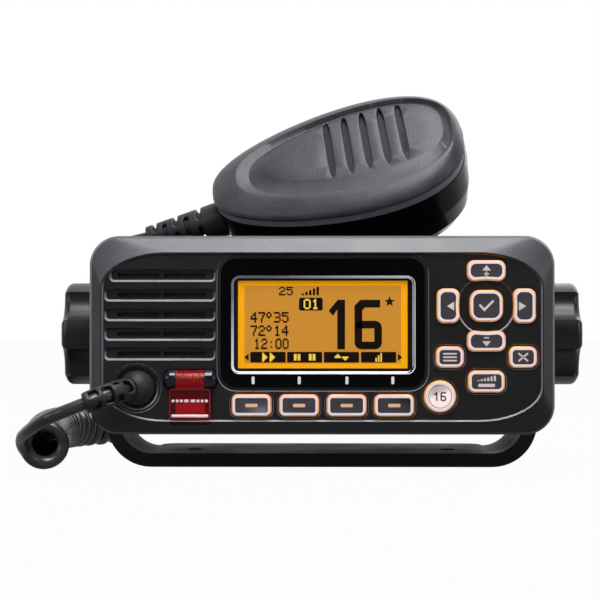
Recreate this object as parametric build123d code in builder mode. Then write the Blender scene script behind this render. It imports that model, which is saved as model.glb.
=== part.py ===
from build123d import *
import os
from math import cos, pi, radians, sin, sqrt, tan

# A fixed-mount marine radio on a tilting bracket, with a hand microphone lying on its case.
# Millimetres. +X is the user's right, -Y faces the user, +Z is up. The origin is the middle
# of the bracket's underside, below the tilt axis.

os.makedirs("parts", exist_ok=True)

# Clearances
fit_gap = 0.15  # between a plate and its pocket, all round
key_gap = 0.15  # between a key and its hole
seat_gap = 0.25  # between a loose piece and its seat
shaft_gap = 0.05  # radial, shaft in hole
soft_gap = 0.3  # between soft pieces and what is beside them

# Whole radio
panel_width = 157.4
panel_height = 67.2
panel_depth = 14.0
body_depth = 110.0  # panel front to chassis rear
axis_height = 47.0  # tilt axis above the bracket's underside
axis_setback = 48.0  # tilt axis behind the panel's front

# Front panel
panel_corner = 10.0
side_depth = 4.8  # where the side walls begin to draw in
side_draw = 0.9
rim_depth = 2.8  # depth of the rim's outer edge
face_width = 148.8
face_height = 57.2
face_drop = 0.7  # the face's middle is lower than the panel's
face_corner_x = 22.0
face_corner_z = 12.0
lip_width = 0.35
face_depth = 0.6
face_back = 3.0
cavity_width = 150.0
cavity_height = 58.0
cavity_corner = 7.5
boss_radius = 3.2
boss_x = 70.5
boss_z = 24.9
screw_radius = 1.25
screw_head_radius = 2.6
screw_head_height = 1.8
post_radius = 1.6

# Display
display_x = 0.3
display_z = 4.2
bezel_width = 68.3
bezel_height = 43.1
bezel_corner = 5.0
bezel_front = 0.1
bezel_thickness = 1.5
groove_width = 0.4
groove_depth = 0.3
groove_offset = 1.1
window_width = 60.3
window_height = 31.6
window_corner = 2.2
window_thickness = 1.0
window_bevel = 0.45
window_drop = 0.6  # the window's middle is lower than the bezel's
lcd_width = 57.0
lcd_height = 29.4
lcd_thickness = 2.6
sheet_opening_margin = 1.0

# Keys
key_front = -0.6  # keys stand this far in front of the rim's inner edge
key_travel = 0.8
key_flange = 0.45
key_flange_thickness = 0.8
key_edge = 0.4
key_step_offset = 0.75
key_step_depth = 0.25
pad_x = 55.15
pad_z = 9.9
pad_pitch_x = 12.3
pad_pitch_z = 11.4
pad_dish_radius = 9.8
pad_dish_depth = 0.35
concave_radius = 26.0
concave_bite = 1.1
cross_key_long = 12.9
cross_key_short = 7.7
side_key_width = 8.5
side_key_height = 11.5
cross_key_corner = 2.4
enter_width = 11.1
enter_height = 10.5
enter_corner = 3.4
small_key_width = 9.4
small_key_height = 7.1
small_key_corner = 2.4
small_key_spread = 12.25
small_key_z = -7.3
volume_key_width = 12.3
volume_key_height = 7.3
volume_key_z = -15.5
round_key_radius = 5.35
round_key_x = 39.6
round_key_z = -20.5
soft_key_width = 13.3
soft_key_height = 7.3
soft_key_corner = 2.0
soft_key_pitch = 15.95
soft_key_z = -23.5
key_face_drop = 0.12
key_rim_width = 1.15
sheet_thickness = 0.8
dome_radius = 2.5
dome_height = 0.4
board_thickness = 1.6
tongue_height = 9.7  # the part of the front board that reaches the distress key

# Speaker
grille_x = -54.5
grille_top = 20.2
grille_pitch = 6.6
grille_count = 5
grille_width = 37.6
grille_height = 4.6
grille_corner = 1.7
grille_depth = 1.1
grille_short_end = 1.7  # the top groove starts this much later
slit_x = -54.05
slit_width = 29.7
slit_height = 1.4
slit_rib = 1.3
speaker_z = 7.2
speaker_radius = 17.0
speaker_depth = 10.4
magnet_radius = 9.0
cone_thickness = 0.4
net_thickness = 0.4
net_width = 32.5
net_height = 30.4
net_corner = 4.0

# Cord bush and the strain relief on it
bush_x = -62.3
bush_z = -17.8
bush_radius = 6.2
bush_recess_radius = 7.4
bush_recess_depth = 1.0
bush_ring_radius = 8.3
bush_flange_radius = 7.6
bush_flange_thickness = 1.4
bush_centre_depth = 2.7
boot_start_direction = (-0.55, -0.83, -0.09)
boot_root_share = 0.74  # of the dome's radius, where the boot's root sits
boot_tip = Vector(-78.3, -58.7, 24.6)
boot_root_radius = 4.1
boot_tip_radius = 3.6
boot_core_radius = 2.9
boot_rings = 4
boot_ring_share = 0.62  # of the pitch that a ring fills
wire_radius = 2.15

# Distress cover and key
distress_gap = 1.4  # between the hinge and the display plate
hinge_z = -14.7
hinge_depth = 0.8
hinge_length = 17.9
hinge_cap_radius = 3.2
hinge_end_round = 2.4
barrel_length = 9.6
barrel_radius = 3.1
barrel_wall = 0.8
pin_radius = 1.0
spring_radius = 2.0
cover_width = 14.3
cover_height = 10.7
cover_z = -23.6
cover_front = -2.2
cover_thickness = 1.2
cover_wall = 1.0
cover_back = 0.3
cover_corner = 1.2
pocket_width = 15.0
pocket_bottom = -30.4
pocket_depth = 3.2
pocket_floor = 1.4
hinge_pocket_width = 18.5
distress_key_width = 10.0
distress_key_height = 5.4
distress_key_z = -24.1
distress_key_front = 0.9
distress_flange_thickness = 0.6

# Chassis
gasket_thickness = 0.8
flange_width = 153.0
flange_height = 63.5
flange_thickness = 3.0
flange_corner = 8.0
chassis_width = 132.0
chassis_height = 60.6
chassis_corner = 6.0
chassis_wall = 3.5
chassis_rear_wall = 10.0
fin_groove_width = 3.0
fin_groove_depth = 6.0
fin_pitch = 6.0
fin_margin = 7.0
trunnion_radius = 14.0
trunnion_reach = 69.9
trunnion_inner_radius = 7.0
trunnion_inner_length = 12.0
rail_height = 1.2
rail_width = 3.0
rail_count = 4
rail_pitch = 12.0

# Rear fittings
socket_x = 30.0
socket_z = 3.0
socket_flange = 25.4
socket_flange_thickness = 2.4
socket_radius = 7.94
socket_length = 12.7
socket_bore = 4.0
contact_radius = 1.9
contact_head_radius = 3.95
grommet_x = (-24.0, -44.0)
grommet_z = -6.0
grommet_radius = 4.5
grommet_flange_radius = 6.5
grommet_length = 5.0
grommet_bore = 3.0
pad_margin = 2.5

# Inside the chassis
standoff_height = 5.0
standoff_radius = 3.0
main_board_width = 112.0
main_board_length = 68.0
main_board_front = 24.0  # depth of its front edge
shield_width = 56.0
shield_length = 46.0
shield_height = 9.0
shield_wall = 0.5
shield_x = -18.0
module_width = 48.0
module_height = 12.0
module_thickness = 8.0

# Bracket, washers and knobs
washer_thickness = 1.5
washer_radius = 12.0
bracket_wall = 4.85
bracket_depth = 36.0
bracket_heel = 9.0  # the base reaches this far behind the arms
bracket_heel_corner = 6.0
bracket_outer_corner = 16.0
bracket_edge = 1.0
bracket_hole_radius = 3.0
bracket_hole_spacing = 92.0
bracket_dimple_radius = 1.0
bracket_rib_count = 5
bracket_rib_groove = 0.4
bracket_rib_pitch = 5.0
knob_radius = 18.45
knob_length = 16.25
knob_hub_radius = 9.0
knob_hub_length = 1.6
knob_lobes = 5
flute_radius = 8.6
flute_centre = 23.4
knob_edge = 2.4
knob_gap = 0.1
stud_radius = 2.5
stud_depth = 10.0
stud_grip = 12.0

# Hand microphone
mic_centre = (6.2, 25.5, 110.1)
mic_long_direction = (0.967, -0.102, 0.233)
mic_face_direction = (-0.2355, -0.707, 0.667)
mic_length = 98.0
mic_width = 60.5
mic_taper = 0.215
mic_fullness = 0.76
mic_outline_points = 20
mic_front_low = 2.0
mic_front_high = 6.8
mic_wall = 2.0
mic_shoulder_height = 5.0
mic_shoulder_share = 0.26  # of the way from the rim's outline to the flat top's
mic_top_length = 76.6
mic_top_width = 41.4
mic_top_shift = 5.6
mic_strip_half = 1.1
mic_strip_inset = 0.3
mic_rear_depth = 29.0
mic_rear_length = 62.0
mic_rear_width = 34.0
mic_rear_shift = 5.0
mic_rear_levels = (0.0, 0.4, 0.7, 0.9, 1.0)  # shares of the depth, for the outside
mic_hollow_levels = (0.0, 0.4, 0.7, 0.88)  # and for the inside
mic_post_depth = 26.0
mic_slot_count = 5
mic_slot_first = -1.2
mic_slot_pitch = 7.1
mic_slot_length = 34.0
mic_slot_width = 2.8
mic_slot_rise = 3.7
mic_slot_depth = 1.3
sound_slit_length = 12.0
sound_slit_width = 0.9
mic_boot_offset = 11.0  # strain relief's axis behind the seam
mic_boot_collar = 7.1
mic_boot_start = -44.0
mic_boot_collar_end = -56.3
mic_boot_end = -79.2
mic_boot_end_radius = 4.0
mic_boot_rings = 5
ptt_x = 8.0
ptt_length = 28.0
ptt_height = 9.0
ptt_offset = 10.0  # its middle behind the seam
ptt_proud = 2.2
ptt_travel = 1.6
capsule_radius = 4.85
capsule_height = 5.5
mic_board_width = 26.0
mic_board_offset = 5.2
mic_stud_radius = 6.0
mic_stud_neck_radius = 4.0
mic_stud_length = 6.5
mic_post_radius = 2.2
mic_screw_x = (-26.0, 36.0)

# Microphone cord
coil_radius = 8.7
coil_height = 8.8

# Values worked out from the ones above
front_y = -axis_setback
flange_front = panel_depth + gasket_thickness
flange_rear = flange_front + flange_thickness
rear_y = front_y + body_depth
chassis_top = axis_height + chassis_height / 2
chassis_floor = axis_height - chassis_height / 2 + chassis_wall
rear_wall_front = body_depth - chassis_rear_wall
window_z = display_z - window_drop
distress_x = display_x - bezel_width / 2 - distress_gap - hinge_length / 2
bezel_back = bezel_front + bezel_thickness
lcd_front = bezel_back + fit_gap
lcd_back = lcd_front + lcd_thickness
key_flange_front = face_back + seat_gap
key_flange_back = key_flange_front + key_flange_thickness
sheet_front = key_flange_back + key_travel + fit_gap
sheet_back = sheet_front + sheet_thickness
board_front = sheet_back + dome_height + fit_gap
board_back = board_front + board_thickness
bracket_inner = trunnion_reach + washer_thickness
bracket_outer = bracket_inner + bracket_wall
bracket_top = axis_height + bracket_depth / 2
knob_reach = bracket_outer + knob_gap + knob_length
bracket_inner_corner = bracket_outer_corner - bracket_wall
mic_plane = Plane(origin=mic_centre, x_dir=mic_long_direction, z_dir=mic_face_direction)


def save(piece, name):
    piece.part.label = name
    export_step(piece.part, f"parts/{name}.step")


def front_plane(depth, x=0.0, z=0.0):
    """A plane facing the user, this deep behind the panel's front, centred on a panel point."""
    origin = (x, front_y + depth, axis_height + z)
    return Plane(origin=origin, x_dir=(1, 0, 0), z_dir=(0, -1, 0))


def rear_plane(depth, x=0.0, z=0.0):
    """The same place, facing away from the user."""
    origin = (x, front_y + depth, axis_height + z)
    return Plane(origin=origin, x_dir=(-1, 0, 0), z_dir=(0, 1, 0))


def side_plane(reach, side):
    """A plane across the tilt axis, facing outward on the side +1 or -1."""
    origin = (side * reach, 0, axis_height)
    return Plane(origin=origin, x_dir=(0, side, 0), z_dir=(side, 0, 0))


def eased_rectangle(width, height, corner_x, corner_y):
    """Rectangle with elliptical corners, drawn in the sketch that is open."""
    half_x = width / 2
    half_y = height / 2
    with BuildLine() as outline:
        for sign_x, sign_y, start in ((1, 1, 0), (-1, 1, 90), (-1, -1, 180), (1, -1, 270)):
            centre = (sign_x * (half_x - corner_x), sign_y * (half_y - corner_y))
            EllipticalCenterArc(centre, corner_x, corner_y, start_angle=start, arc_size=90)
        Line((half_x - corner_x, half_y), (corner_x - half_x, half_y))
        Line((-half_x, half_y - corner_y), (-half_x, corner_y - half_y))
        Line((corner_x - half_x, -half_y), (half_x - corner_x, -half_y))
        Line((half_x, corner_y - half_y), (half_x, half_y - corner_y))
    make_face(outline.edges())


# ---- Key outlines, each drawn round its own middle in the sketch that is open ----

def cross_key_outline(grow, turn):
    """Key of the direction pad, with the side that faces the middle hollowed, turned in place."""
    upright = turn in (0, 180)
    width = cross_key_long if upright else side_key_height
    height = cross_key_short if upright else side_key_width
    with BuildSketch(mode=Mode.PRIVATE) as outline:
        Rectangle(width + 2 * grow, height + 2 * grow)
        hollow_y = -height / 2 - grow + concave_bite - concave_radius
        with Locations((0, hollow_y)):
            Circle(concave_radius, mode=Mode.SUBTRACT)
        fillet(outline.vertices(), cross_key_corner + grow / 2)
    add(outline.sketch, rotation=turn)


def rounded_key_outline(grow, width, height, corner):
    RectangleRounded(width + 2 * grow, height + 2 * grow, corner + grow)


def round_key_outline(grow):
    Circle(round_key_radius + grow)


keys = {
    "channel_up_key": (pad_x, pad_z + pad_pitch_z, cross_key_outline, (0,)),
    "channel_down_key": (pad_x, pad_z - pad_pitch_z, cross_key_outline, (180,)),
    "left_key": (pad_x - pad_pitch_x, pad_z, cross_key_outline, (90,)),
    "right_key": (pad_x + pad_pitch_x, pad_z, cross_key_outline, (270,)),
    "enter_key": (pad_x, pad_z, rounded_key_outline, (enter_width, enter_height, enter_corner)),
    "menu_key": (
        pad_x - small_key_spread,
        small_key_z,
        rounded_key_outline,
        (small_key_width, small_key_height, small_key_corner),
    ),
    "clear_key": (
        pad_x + small_key_spread,
        small_key_z,
        rounded_key_outline,
        (small_key_width, small_key_height, small_key_corner),
    ),
    "volume_power_key": (
        pad_x,
        volume_key_z,
        rounded_key_outline,
        (volume_key_width, volume_key_height, small_key_corner),
    ),
    "channel_16_key": (round_key_x, round_key_z, round_key_outline, ()),
}
for index in range(4):
    keys[f"soft_key_{index + 1}"] = (
        display_x + (index - 1.5) * soft_key_pitch,
        soft_key_z,
        rounded_key_outline,
        (soft_key_width, soft_key_height, soft_key_corner),
    )

post_places = [
    (display_x + side * (bezel_width / 2 - post_radius), display_z + end * (bezel_height / 2 - 2 * post_radius))
    for side in (-1, 1)
    for end in (-1, 1)
]
boss_places = [(side * boss_x, end * boss_z) for side in (-1, 1) for end in (-1, 1)]


# ---- Front panel ----

with BuildPart() as front_panel:
    with BuildSketch(front_plane(panel_depth)):
        RectangleRounded(panel_width, panel_height, panel_corner)
    extrude(amount=panel_depth - side_depth)
    with BuildSketch(front_plane(side_depth)):
        eased_rectangle(panel_width, panel_height, panel_corner, panel_corner)
    with BuildSketch(front_plane(rim_depth)):
        drawn_corner = panel_corner - side_draw
        drawn_width = panel_width - 2 * side_draw
        drawn_height = panel_height - 2 * side_draw
        eased_rectangle(drawn_width, drawn_height, drawn_corner, drawn_corner)
    loft()
    with BuildSketch(front_plane(rim_depth)):
        eased_rectangle(drawn_width, drawn_height, drawn_corner, drawn_corner)
    with BuildSketch(front_plane(0, 0, -face_drop)):
        eased_rectangle(face_width, face_height, face_corner_x, face_corner_z)
    loft()
    # face, set back inside a narrow lip
    with BuildSketch(front_plane(0, 0, -face_drop)):
        inner_width = face_width - 2 * lip_width
        inner_height = face_height - 2 * lip_width
        eased_rectangle(
            inner_width, inner_height, face_corner_x - lip_width, face_corner_z - lip_width
        )
    extrude(amount=-face_depth, mode=Mode.SUBTRACT)
    # hollow back
    with BuildSketch(front_plane(panel_depth)):
        RectangleRounded(cavity_width, cavity_height, cavity_corner)
    extrude(amount=panel_depth - face_back, mode=Mode.SUBTRACT)
    # screw bosses and board posts
    with BuildSketch(front_plane(panel_depth)):
        with Locations(*boss_places):
            Circle(boss_radius)
    extrude(amount=panel_depth - face_back)
    with BuildSketch(front_plane(board_front)):
        with Locations(*post_places):
            Circle(post_radius)
    extrude(amount=board_front - face_back)
    with BuildSketch(front_plane(panel_depth)):
        with Locations(*boss_places):
            Circle(screw_radius + shaft_gap)
    extrude(amount=panel_depth - face_back - bezel_thickness, mode=Mode.SUBTRACT)
    # thickening behind the distress pocket
    pocket_block_top = hinge_z + hinge_cap_radius + seat_gap + cover_wall
    pocket_block_bottom = pocket_bottom - cover_wall
    with BuildSketch(front_plane(rim_depth, distress_x)):
        with Locations((0, (pocket_block_top + pocket_block_bottom) / 2)):
            Rectangle(hinge_pocket_width + 2 * cover_wall, pocket_block_top - pocket_block_bottom)
    extrude(amount=rim_depth - pocket_depth - pocket_floor)
    # distress pocket with its hinge seat
    with BuildSketch(front_plane(cover_front, distress_x)):
        with Locations((0, (hinge_z + pocket_bottom) / 2)):
            RectangleRounded(pocket_width, hinge_z - pocket_bottom, cover_corner)
    extrude(amount=cover_front - pocket_depth, mode=Mode.SUBTRACT)
    hinge_seat = Plane(
        origin=(distress_x - hinge_pocket_width / 2, front_y + hinge_depth, axis_height + hinge_z),
        x_dir=(0, 1, 0),
        z_dir=(1, 0, 0),
    )
    with BuildPart(mode=Mode.PRIVATE) as seat_space:
        with BuildSketch(hinge_seat):
            Circle(hinge_cap_radius + seat_gap)
        extrude(amount=hinge_pocket_width)
        fillet(seat_space.edges().filter_by(GeomType.CIRCLE), hinge_end_round)
    add(seat_space.part, mode=Mode.SUBTRACT)
    with BuildSketch(front_plane(cover_front, distress_x, distress_key_z)):
        Rectangle(distress_key_width + 2 * key_gap, distress_key_height + 2 * key_gap)
    extrude(amount=cover_front - pocket_depth - 2 * pocket_floor, mode=Mode.SUBTRACT)
    # display seat, window opening and the fine groove round the bezel
    with BuildSketch(front_plane(0, display_x, display_z)):
        RectangleRounded(
            bezel_width + 2 * fit_gap, bezel_height + 2 * fit_gap, bezel_corner + fit_gap
        )
    extrude(amount=-bezel_back, mode=Mode.SUBTRACT)
    with BuildSketch(front_plane(0, display_x, window_z)):
        Rectangle(lcd_width + 2 * fit_gap, lcd_height + 2 * fit_gap)
    extrude(amount=-face_back, mode=Mode.SUBTRACT)
    with BuildSketch(front_plane(face_depth, display_x, display_z)):
        ring = groove_offset + groove_width
        RectangleRounded(bezel_width + 2 * ring, bezel_height + 2 * ring, bezel_corner + ring)
        RectangleRounded(
            bezel_width + 2 * groove_offset,
            bezel_height + 2 * groove_offset,
            bezel_corner + groove_offset,
            mode=Mode.SUBTRACT,
        )
    extrude(amount=-groove_depth, mode=Mode.SUBTRACT)
    # speaker grooves with slits through
    for row in range(grille_count):
        row_z = grille_top - row * grille_pitch
        late = grille_short_end if row == 0 else 0.0
        with BuildSketch(front_plane(0, grille_x, row_z)):
            with Locations((late / 2, 0)):
                RectangleRounded(grille_width - late, grille_height, grille_corner)
        extrude(amount=-face_depth - grille_depth, mode=Mode.SUBTRACT)
        with BuildSketch(front_plane(0, slit_x, row_z)):
            slit_half = (slit_width - slit_rib) / 2
            with Locations((-(slit_half + slit_rib) / 2, 0), ((slit_half + slit_rib) / 2, 0)):
                Rectangle(slit_half, slit_height)
        extrude(amount=-face_back, mode=Mode.SUBTRACT)
    # cord bush hole, recess and fine ring
    with BuildSketch(front_plane(0, bush_x, bush_z)):
        Circle(bush_radius + fit_gap)
    extrude(amount=-face_back, mode=Mode.SUBTRACT)
    with BuildSketch(front_plane(0, bush_x, bush_z)):
        Circle(bush_recess_radius)
    extrude(amount=-face_depth - bush_recess_depth, mode=Mode.SUBTRACT)
    with BuildSketch(front_plane(0, bush_x, bush_z)):
        Circle(bush_ring_radius)
        Circle(bush_ring_radius - groove_width, mode=Mode.SUBTRACT)
    extrude(amount=-face_depth - groove_depth, mode=Mode.SUBTRACT)
    # dish round the enter key
    with BuildSketch(front_plane(face_depth, pad_x, pad_z)):
        Circle(pad_dish_radius)
    extrude(amount=-pad_dish_depth, mode=Mode.SUBTRACT)
    # key holes, each with a shallow step round it
    for key_x, key_z, outline, sizes in keys.values():
        with BuildSketch(front_plane(face_depth, key_x, key_z)):
            outline(key_gap, *sizes)
        extrude(amount=face_depth - face_back, mode=Mode.SUBTRACT)
        with BuildSketch(front_plane(face_depth, key_x, key_z)):
            outline(key_step_offset, *sizes)
        extrude(amount=-key_step_depth, mode=Mode.SUBTRACT)
save(front_panel, "front_panel")

with BuildPart() as panel_gasket:
    with BuildSketch(front_plane(panel_depth)):
        RectangleRounded(flange_width, flange_height, flange_corner)
        RectangleRounded(
            chassis_width - 2 * chassis_wall,
            chassis_height - 2 * chassis_wall,
            chassis_corner - chassis_wall / 2,
            mode=Mode.SUBTRACT,
        )
        with Locations(*boss_places):
            Circle(screw_radius + fit_gap, mode=Mode.SUBTRACT)
    extrude(amount=-gasket_thickness)
save(panel_gasket, "panel_gasket")

with BuildPart() as case_screws:
    with BuildSketch(front_plane(flange_rear)):
        with Locations(*boss_places):
            Circle(screw_radius)
    extrude(amount=flange_rear - face_back - 2 * bezel_thickness)
    with BuildSketch(front_plane(flange_rear)):
        with Locations(*boss_places):
            Circle(screw_head_radius)
            RegularPolygon(screw_radius, 6, mode=Mode.SUBTRACT)
    extrude(amount=-screw_head_height)
    with BuildSketch(front_plane(flange_rear)):
        with Locations(*boss_places):
            Circle(screw_radius)
    extrude(amount=-screw_head_height / 2)
save(case_screws, "case_screws")

# ---- Display ----

with BuildPart() as display_bezel:
    with BuildSketch(front_plane(bezel_back, display_x, display_z)):
        RectangleRounded(bezel_width, bezel_height, bezel_corner)
    extrude(amount=bezel_thickness)
    with BuildSketch(front_plane(bezel_back, display_x, window_z)):
        RectangleRounded(window_width, window_height, window_corner)
    extrude(amount=bezel_thickness, mode=Mode.SUBTRACT)
    front_face = display_bezel.faces().sort_by(Axis.Y)[0]
    chamfer(front_face.inner_wires()[0].edges(), window_bevel)
save(display_bezel, "display_bezel")

with BuildPart() as display_window:
    with BuildSketch(front_plane(bezel_back, display_x, window_z)):
        RectangleRounded(
            window_width - 2 * fit_gap, window_height - 2 * fit_gap, window_corner - fit_gap
        )
    extrude(amount=window_thickness)
save(display_window, "display_window")

with BuildPart() as lcd_module:
    with BuildSketch(front_plane(lcd_back, display_x, window_z)):
        Rectangle(lcd_width, lcd_height)
    extrude(amount=lcd_thickness)
save(lcd_module, "lcd_module")

with BuildPart() as backlight:
    with BuildSketch(front_plane(lcd_back + fit_gap, display_x, window_z)):
        Rectangle(lcd_width + sheet_opening_margin, lcd_height + sheet_opening_margin)
    extrude(amount=lcd_back + fit_gap + fit_gap - board_front)
save(backlight, "backlight")

# ---- Keys and what they press ----


def key_piece(key_x, key_z, outline, sizes):
    with BuildPart() as key:
        with BuildSketch(front_plane(key_flange_front, key_x, key_z)):
            outline(0.0, *sizes)
        extrude(amount=key_flange_front - key_front)
        chamfer(key.edges().group_by(Axis.Y)[0], key_edge)
        with BuildSketch(front_plane(key_front, key_x, key_z)):
            outline(-key_rim_width, *sizes)
        extrude(amount=-key_face_drop, mode=Mode.SUBTRACT)
        with BuildSketch(front_plane(key_flange_back, key_x, key_z)):
            outline(key_flange, *sizes)
        extrude(amount=key_flange_thickness)
    return key


for key_name, (key_x, key_z, outline, sizes) in keys.items():
    save(key_piece(key_x, key_z, outline, sizes), key_name)

board_left = distress_x - distress_key_width / 2 - 4 * cover_wall
board_right = pad_x + small_key_spread + small_key_width / 2 - cover_wall / 2
board_upper_left = display_x - bezel_width / 2 - cover_wall
board_tall = cavity_height / 2 - 2 * cover_wall
board_waist = boss_z - boss_radius - 2 * cover_wall
board_corner_x = boss_x - boss_radius - cover_wall


def board_outline():
    """Outline of the front board, stepped round the speaker and the screw bosses."""
    with Locations(((board_upper_left + board_corner_x) / 2, 0)):
        Rectangle(board_corner_x - board_upper_left, 2 * board_tall)
    with Locations(((board_upper_left + board_right) / 2, 0)):
        Rectangle(board_right - board_upper_left, 2 * board_waist)
    tongue_x = (board_left + board_upper_left) / 2 + cover_wall
    with Locations((tongue_x, tongue_height / 2 - board_tall)):
        Rectangle(board_upper_left - board_left + 2 * cover_wall, tongue_height)


with BuildPart() as front_board:
    with BuildSketch(front_plane(board_back)):
        board_outline()
    extrude(amount=board_thickness)
save(front_board, "front_board")

with BuildPart() as key_sheet:
    with BuildSketch(front_plane(sheet_back)):
        with Locations(((board_upper_left + board_corner_x) / 2, 0)):
            Rectangle(board_corner_x - board_upper_left, 2 * board_tall)
        with Locations(((board_upper_left + board_right) / 2, 0)):
            Rectangle(board_right - board_upper_left, 2 * board_waist)
        with Locations((display_x, window_z)):
            opening = 2 * sheet_opening_margin
            Rectangle(lcd_width + opening, lcd_height + opening, mode=Mode.SUBTRACT)
        with Locations(*post_places):
            Circle(post_radius + fit_gap, mode=Mode.SUBTRACT)
        with Locations((distress_x, distress_key_z)):
            Rectangle(pocket_width, cover_height, mode=Mode.SUBTRACT)
    extrude(amount=sheet_thickness)
save(key_sheet, "key_sheet")

with BuildPart() as dome_switches:
    with BuildSketch(front_plane(board_front)):
        with Locations(*[(key[0], key[1]) for key in keys.values()]):
            Circle(dome_radius)
        with Locations((distress_x, distress_key_z)):
            Circle(dome_radius)
    extrude(amount=dome_height)
save(dome_switches, "dome_switches")

# ---- Speaker ----

speaker_front = face_back + net_thickness + fit_gap
with BuildPart() as speaker_net:
    with BuildSketch(front_plane(face_back + net_thickness, slit_x, speaker_z)):
        RectangleRounded(net_width, net_height, net_corner)
    extrude(amount=net_thickness)
save(speaker_net, "speaker_net")

with BuildPart() as speaker_frame:
    with BuildSketch(front_plane(speaker_front, grille_x, speaker_z)):
        Circle(speaker_radius)
    with BuildSketch(front_plane(speaker_front + speaker_depth / 2, grille_x, speaker_z)):
        Circle(magnet_radius + 2 * cover_wall)
    loft()
    with BuildSketch(front_plane(speaker_front + speaker_depth, grille_x, speaker_z)):
        Circle(magnet_radius)
    extrude(amount=speaker_depth / 2)
    with BuildSketch(front_plane(speaker_front, grille_x, speaker_z)):
        Circle(speaker_radius - cover_wall)
    with BuildSketch(front_plane(speaker_front + speaker_depth / 3, grille_x, speaker_z)):
        Circle(magnet_radius)
    loft(mode=Mode.SUBTRACT)
save(speaker_frame, "speaker_frame")

with BuildPart() as speaker_cone:
    with BuildSketch(front_plane(speaker_front + fit_gap, grille_x, speaker_z)):
        Circle(speaker_radius - 2 * cover_wall)
    with BuildSketch(front_plane(speaker_front + speaker_depth / 3, grille_x, speaker_z)):
        Circle(magnet_radius - 2 * cover_wall)
    loft()
    with BuildSketch(front_plane(speaker_front + fit_gap, grille_x, speaker_z)):
        Circle(speaker_radius - 2 * cover_wall - 2 * cone_thickness)
    inner_cone_depth = speaker_front + speaker_depth / 3 - cone_thickness
    with BuildSketch(front_plane(inner_cone_depth, grille_x, speaker_z)):
        Circle(magnet_radius - 2 * cover_wall - 2 * cone_thickness)
    loft(mode=Mode.SUBTRACT)
save(speaker_cone, "speaker_cone")

# ---- Cord bush and strain relief ----

bush_centre = Vector(bush_x, front_y + bush_centre_depth, axis_height + bush_z)
boot_start_axis = Vector(*boot_start_direction).normalized()
boot_root = bush_centre + boot_start_axis * bush_radius * boot_root_share
boot_seat = Plane(origin=boot_root, z_dir=boot_start_axis)

with BuildPart() as cord_bush:
    with BuildSketch(front_plane(face_back + fit_gap, bush_x, bush_z)):
        Circle(bush_radius)
    extrude(amount=face_back + fit_gap - bush_centre_depth)
    with Locations(bush_centre):
        Sphere(bush_radius)
    back_depth = face_back + fit_gap + bush_flange_thickness
    with BuildSketch(front_plane(back_depth, bush_x, bush_z)):
        Circle(bush_radius)
    extrude(amount=-bush_radius, mode=Mode.SUBTRACT)
    with BuildSketch(front_plane(back_depth, bush_x, bush_z)):
        Circle(bush_flange_radius)
    extrude(amount=bush_flange_thickness)
    with BuildSketch(boot_seat.offset(-shaft_gap)):
        Circle(boot_root_radius + shaft_gap)
    extrude(amount=bush_radius, mode=Mode.SUBTRACT)
save(cord_bush, "cord_bush")


def ribbed_boot(plane, start, first_ring, end, collar_radius, end_radius, core_radius, rings):
    """Strain relief along the plane's normal: a collar, then rings on a thin core."""
    with BuildPart() as boot:
        with BuildSketch(plane.offset(start)):
            Circle(collar_radius)
        extrude(amount=first_ring - start)
        with BuildSketch(plane.offset(first_ring)):
            Circle(core_radius)
        extrude(amount=end - first_ring)
        step = (end - first_ring) / rings
        for ring_index in range(rings):
            share = (ring_index + 1) / rings
            radius = collar_radius + (end_radius - collar_radius) * share
            ring_start = first_ring + step * (ring_index + 1 - boot_ring_share)
            with BuildSketch(plane.offset(ring_start)):
                Circle(radius)
            extrude(amount=step * boot_ring_share)
    return boot


with BuildPart() as cord_boot:
    with BuildLine() as boot_path:
        TangentArc(boot_root, boot_tip, tangent=boot_start_axis)
    with BuildSketch(boot_seat):
        Circle(boot_core_radius)
    sweep()
    for ring in range(boot_rings):
        share = (ring + 1) / boot_rings
        ring_length = boot_ring_share * boot_path.wire().length / boot_rings
        ring_end = Plane(origin=boot_path.wire() @ share, z_dir=boot_path.wire() % share)
        with BuildSketch(ring_end):
            Circle(boot_root_radius + (boot_tip_radius - boot_root_radius) * share)
        extrude(amount=-ring_length)
save(cord_boot, "cord_boot")

# ---- Distress key and its spring cover ----

hinge_origin = Vector(distress_x, front_y + hinge_depth, axis_height + hinge_z)
hinge_plane = Plane(origin=hinge_origin, x_dir=(0, 1, 0), z_dir=(1, 0, 0))
cap_length = (hinge_length - barrel_length) / 2 - fit_gap
spring_length = barrel_length / 2 - barrel_wall - fit_gap

with BuildPart() as distress_hinge_pin:
    with BuildSketch(hinge_plane):
        Circle(pin_radius)
    extrude(amount=hinge_length / 2 - cap_length / 2, both=True)
    for side in (-1, 1):
        with BuildSketch(hinge_plane.offset(side * (barrel_length / 2 + fit_gap))):
            Circle(hinge_cap_radius)
        extrude(amount=side * cap_length)
    ends = distress_hinge_pin.faces().sort_by(Axis.X)
    fillet(ends[0].edges() + ends[-1].edges(), hinge_end_round - seat_gap)
save(distress_hinge_pin, "distress_hinge_pin")

with BuildPart() as distress_spring:
    for side in (-1, 1):
        with BuildSketch(hinge_plane.offset(side * fit_gap)):
            Circle(spring_radius)
            Circle(pin_radius + fit_gap, mode=Mode.SUBTRACT)
        extrude(amount=side * spring_length)
save(distress_spring, "distress_spring")

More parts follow.
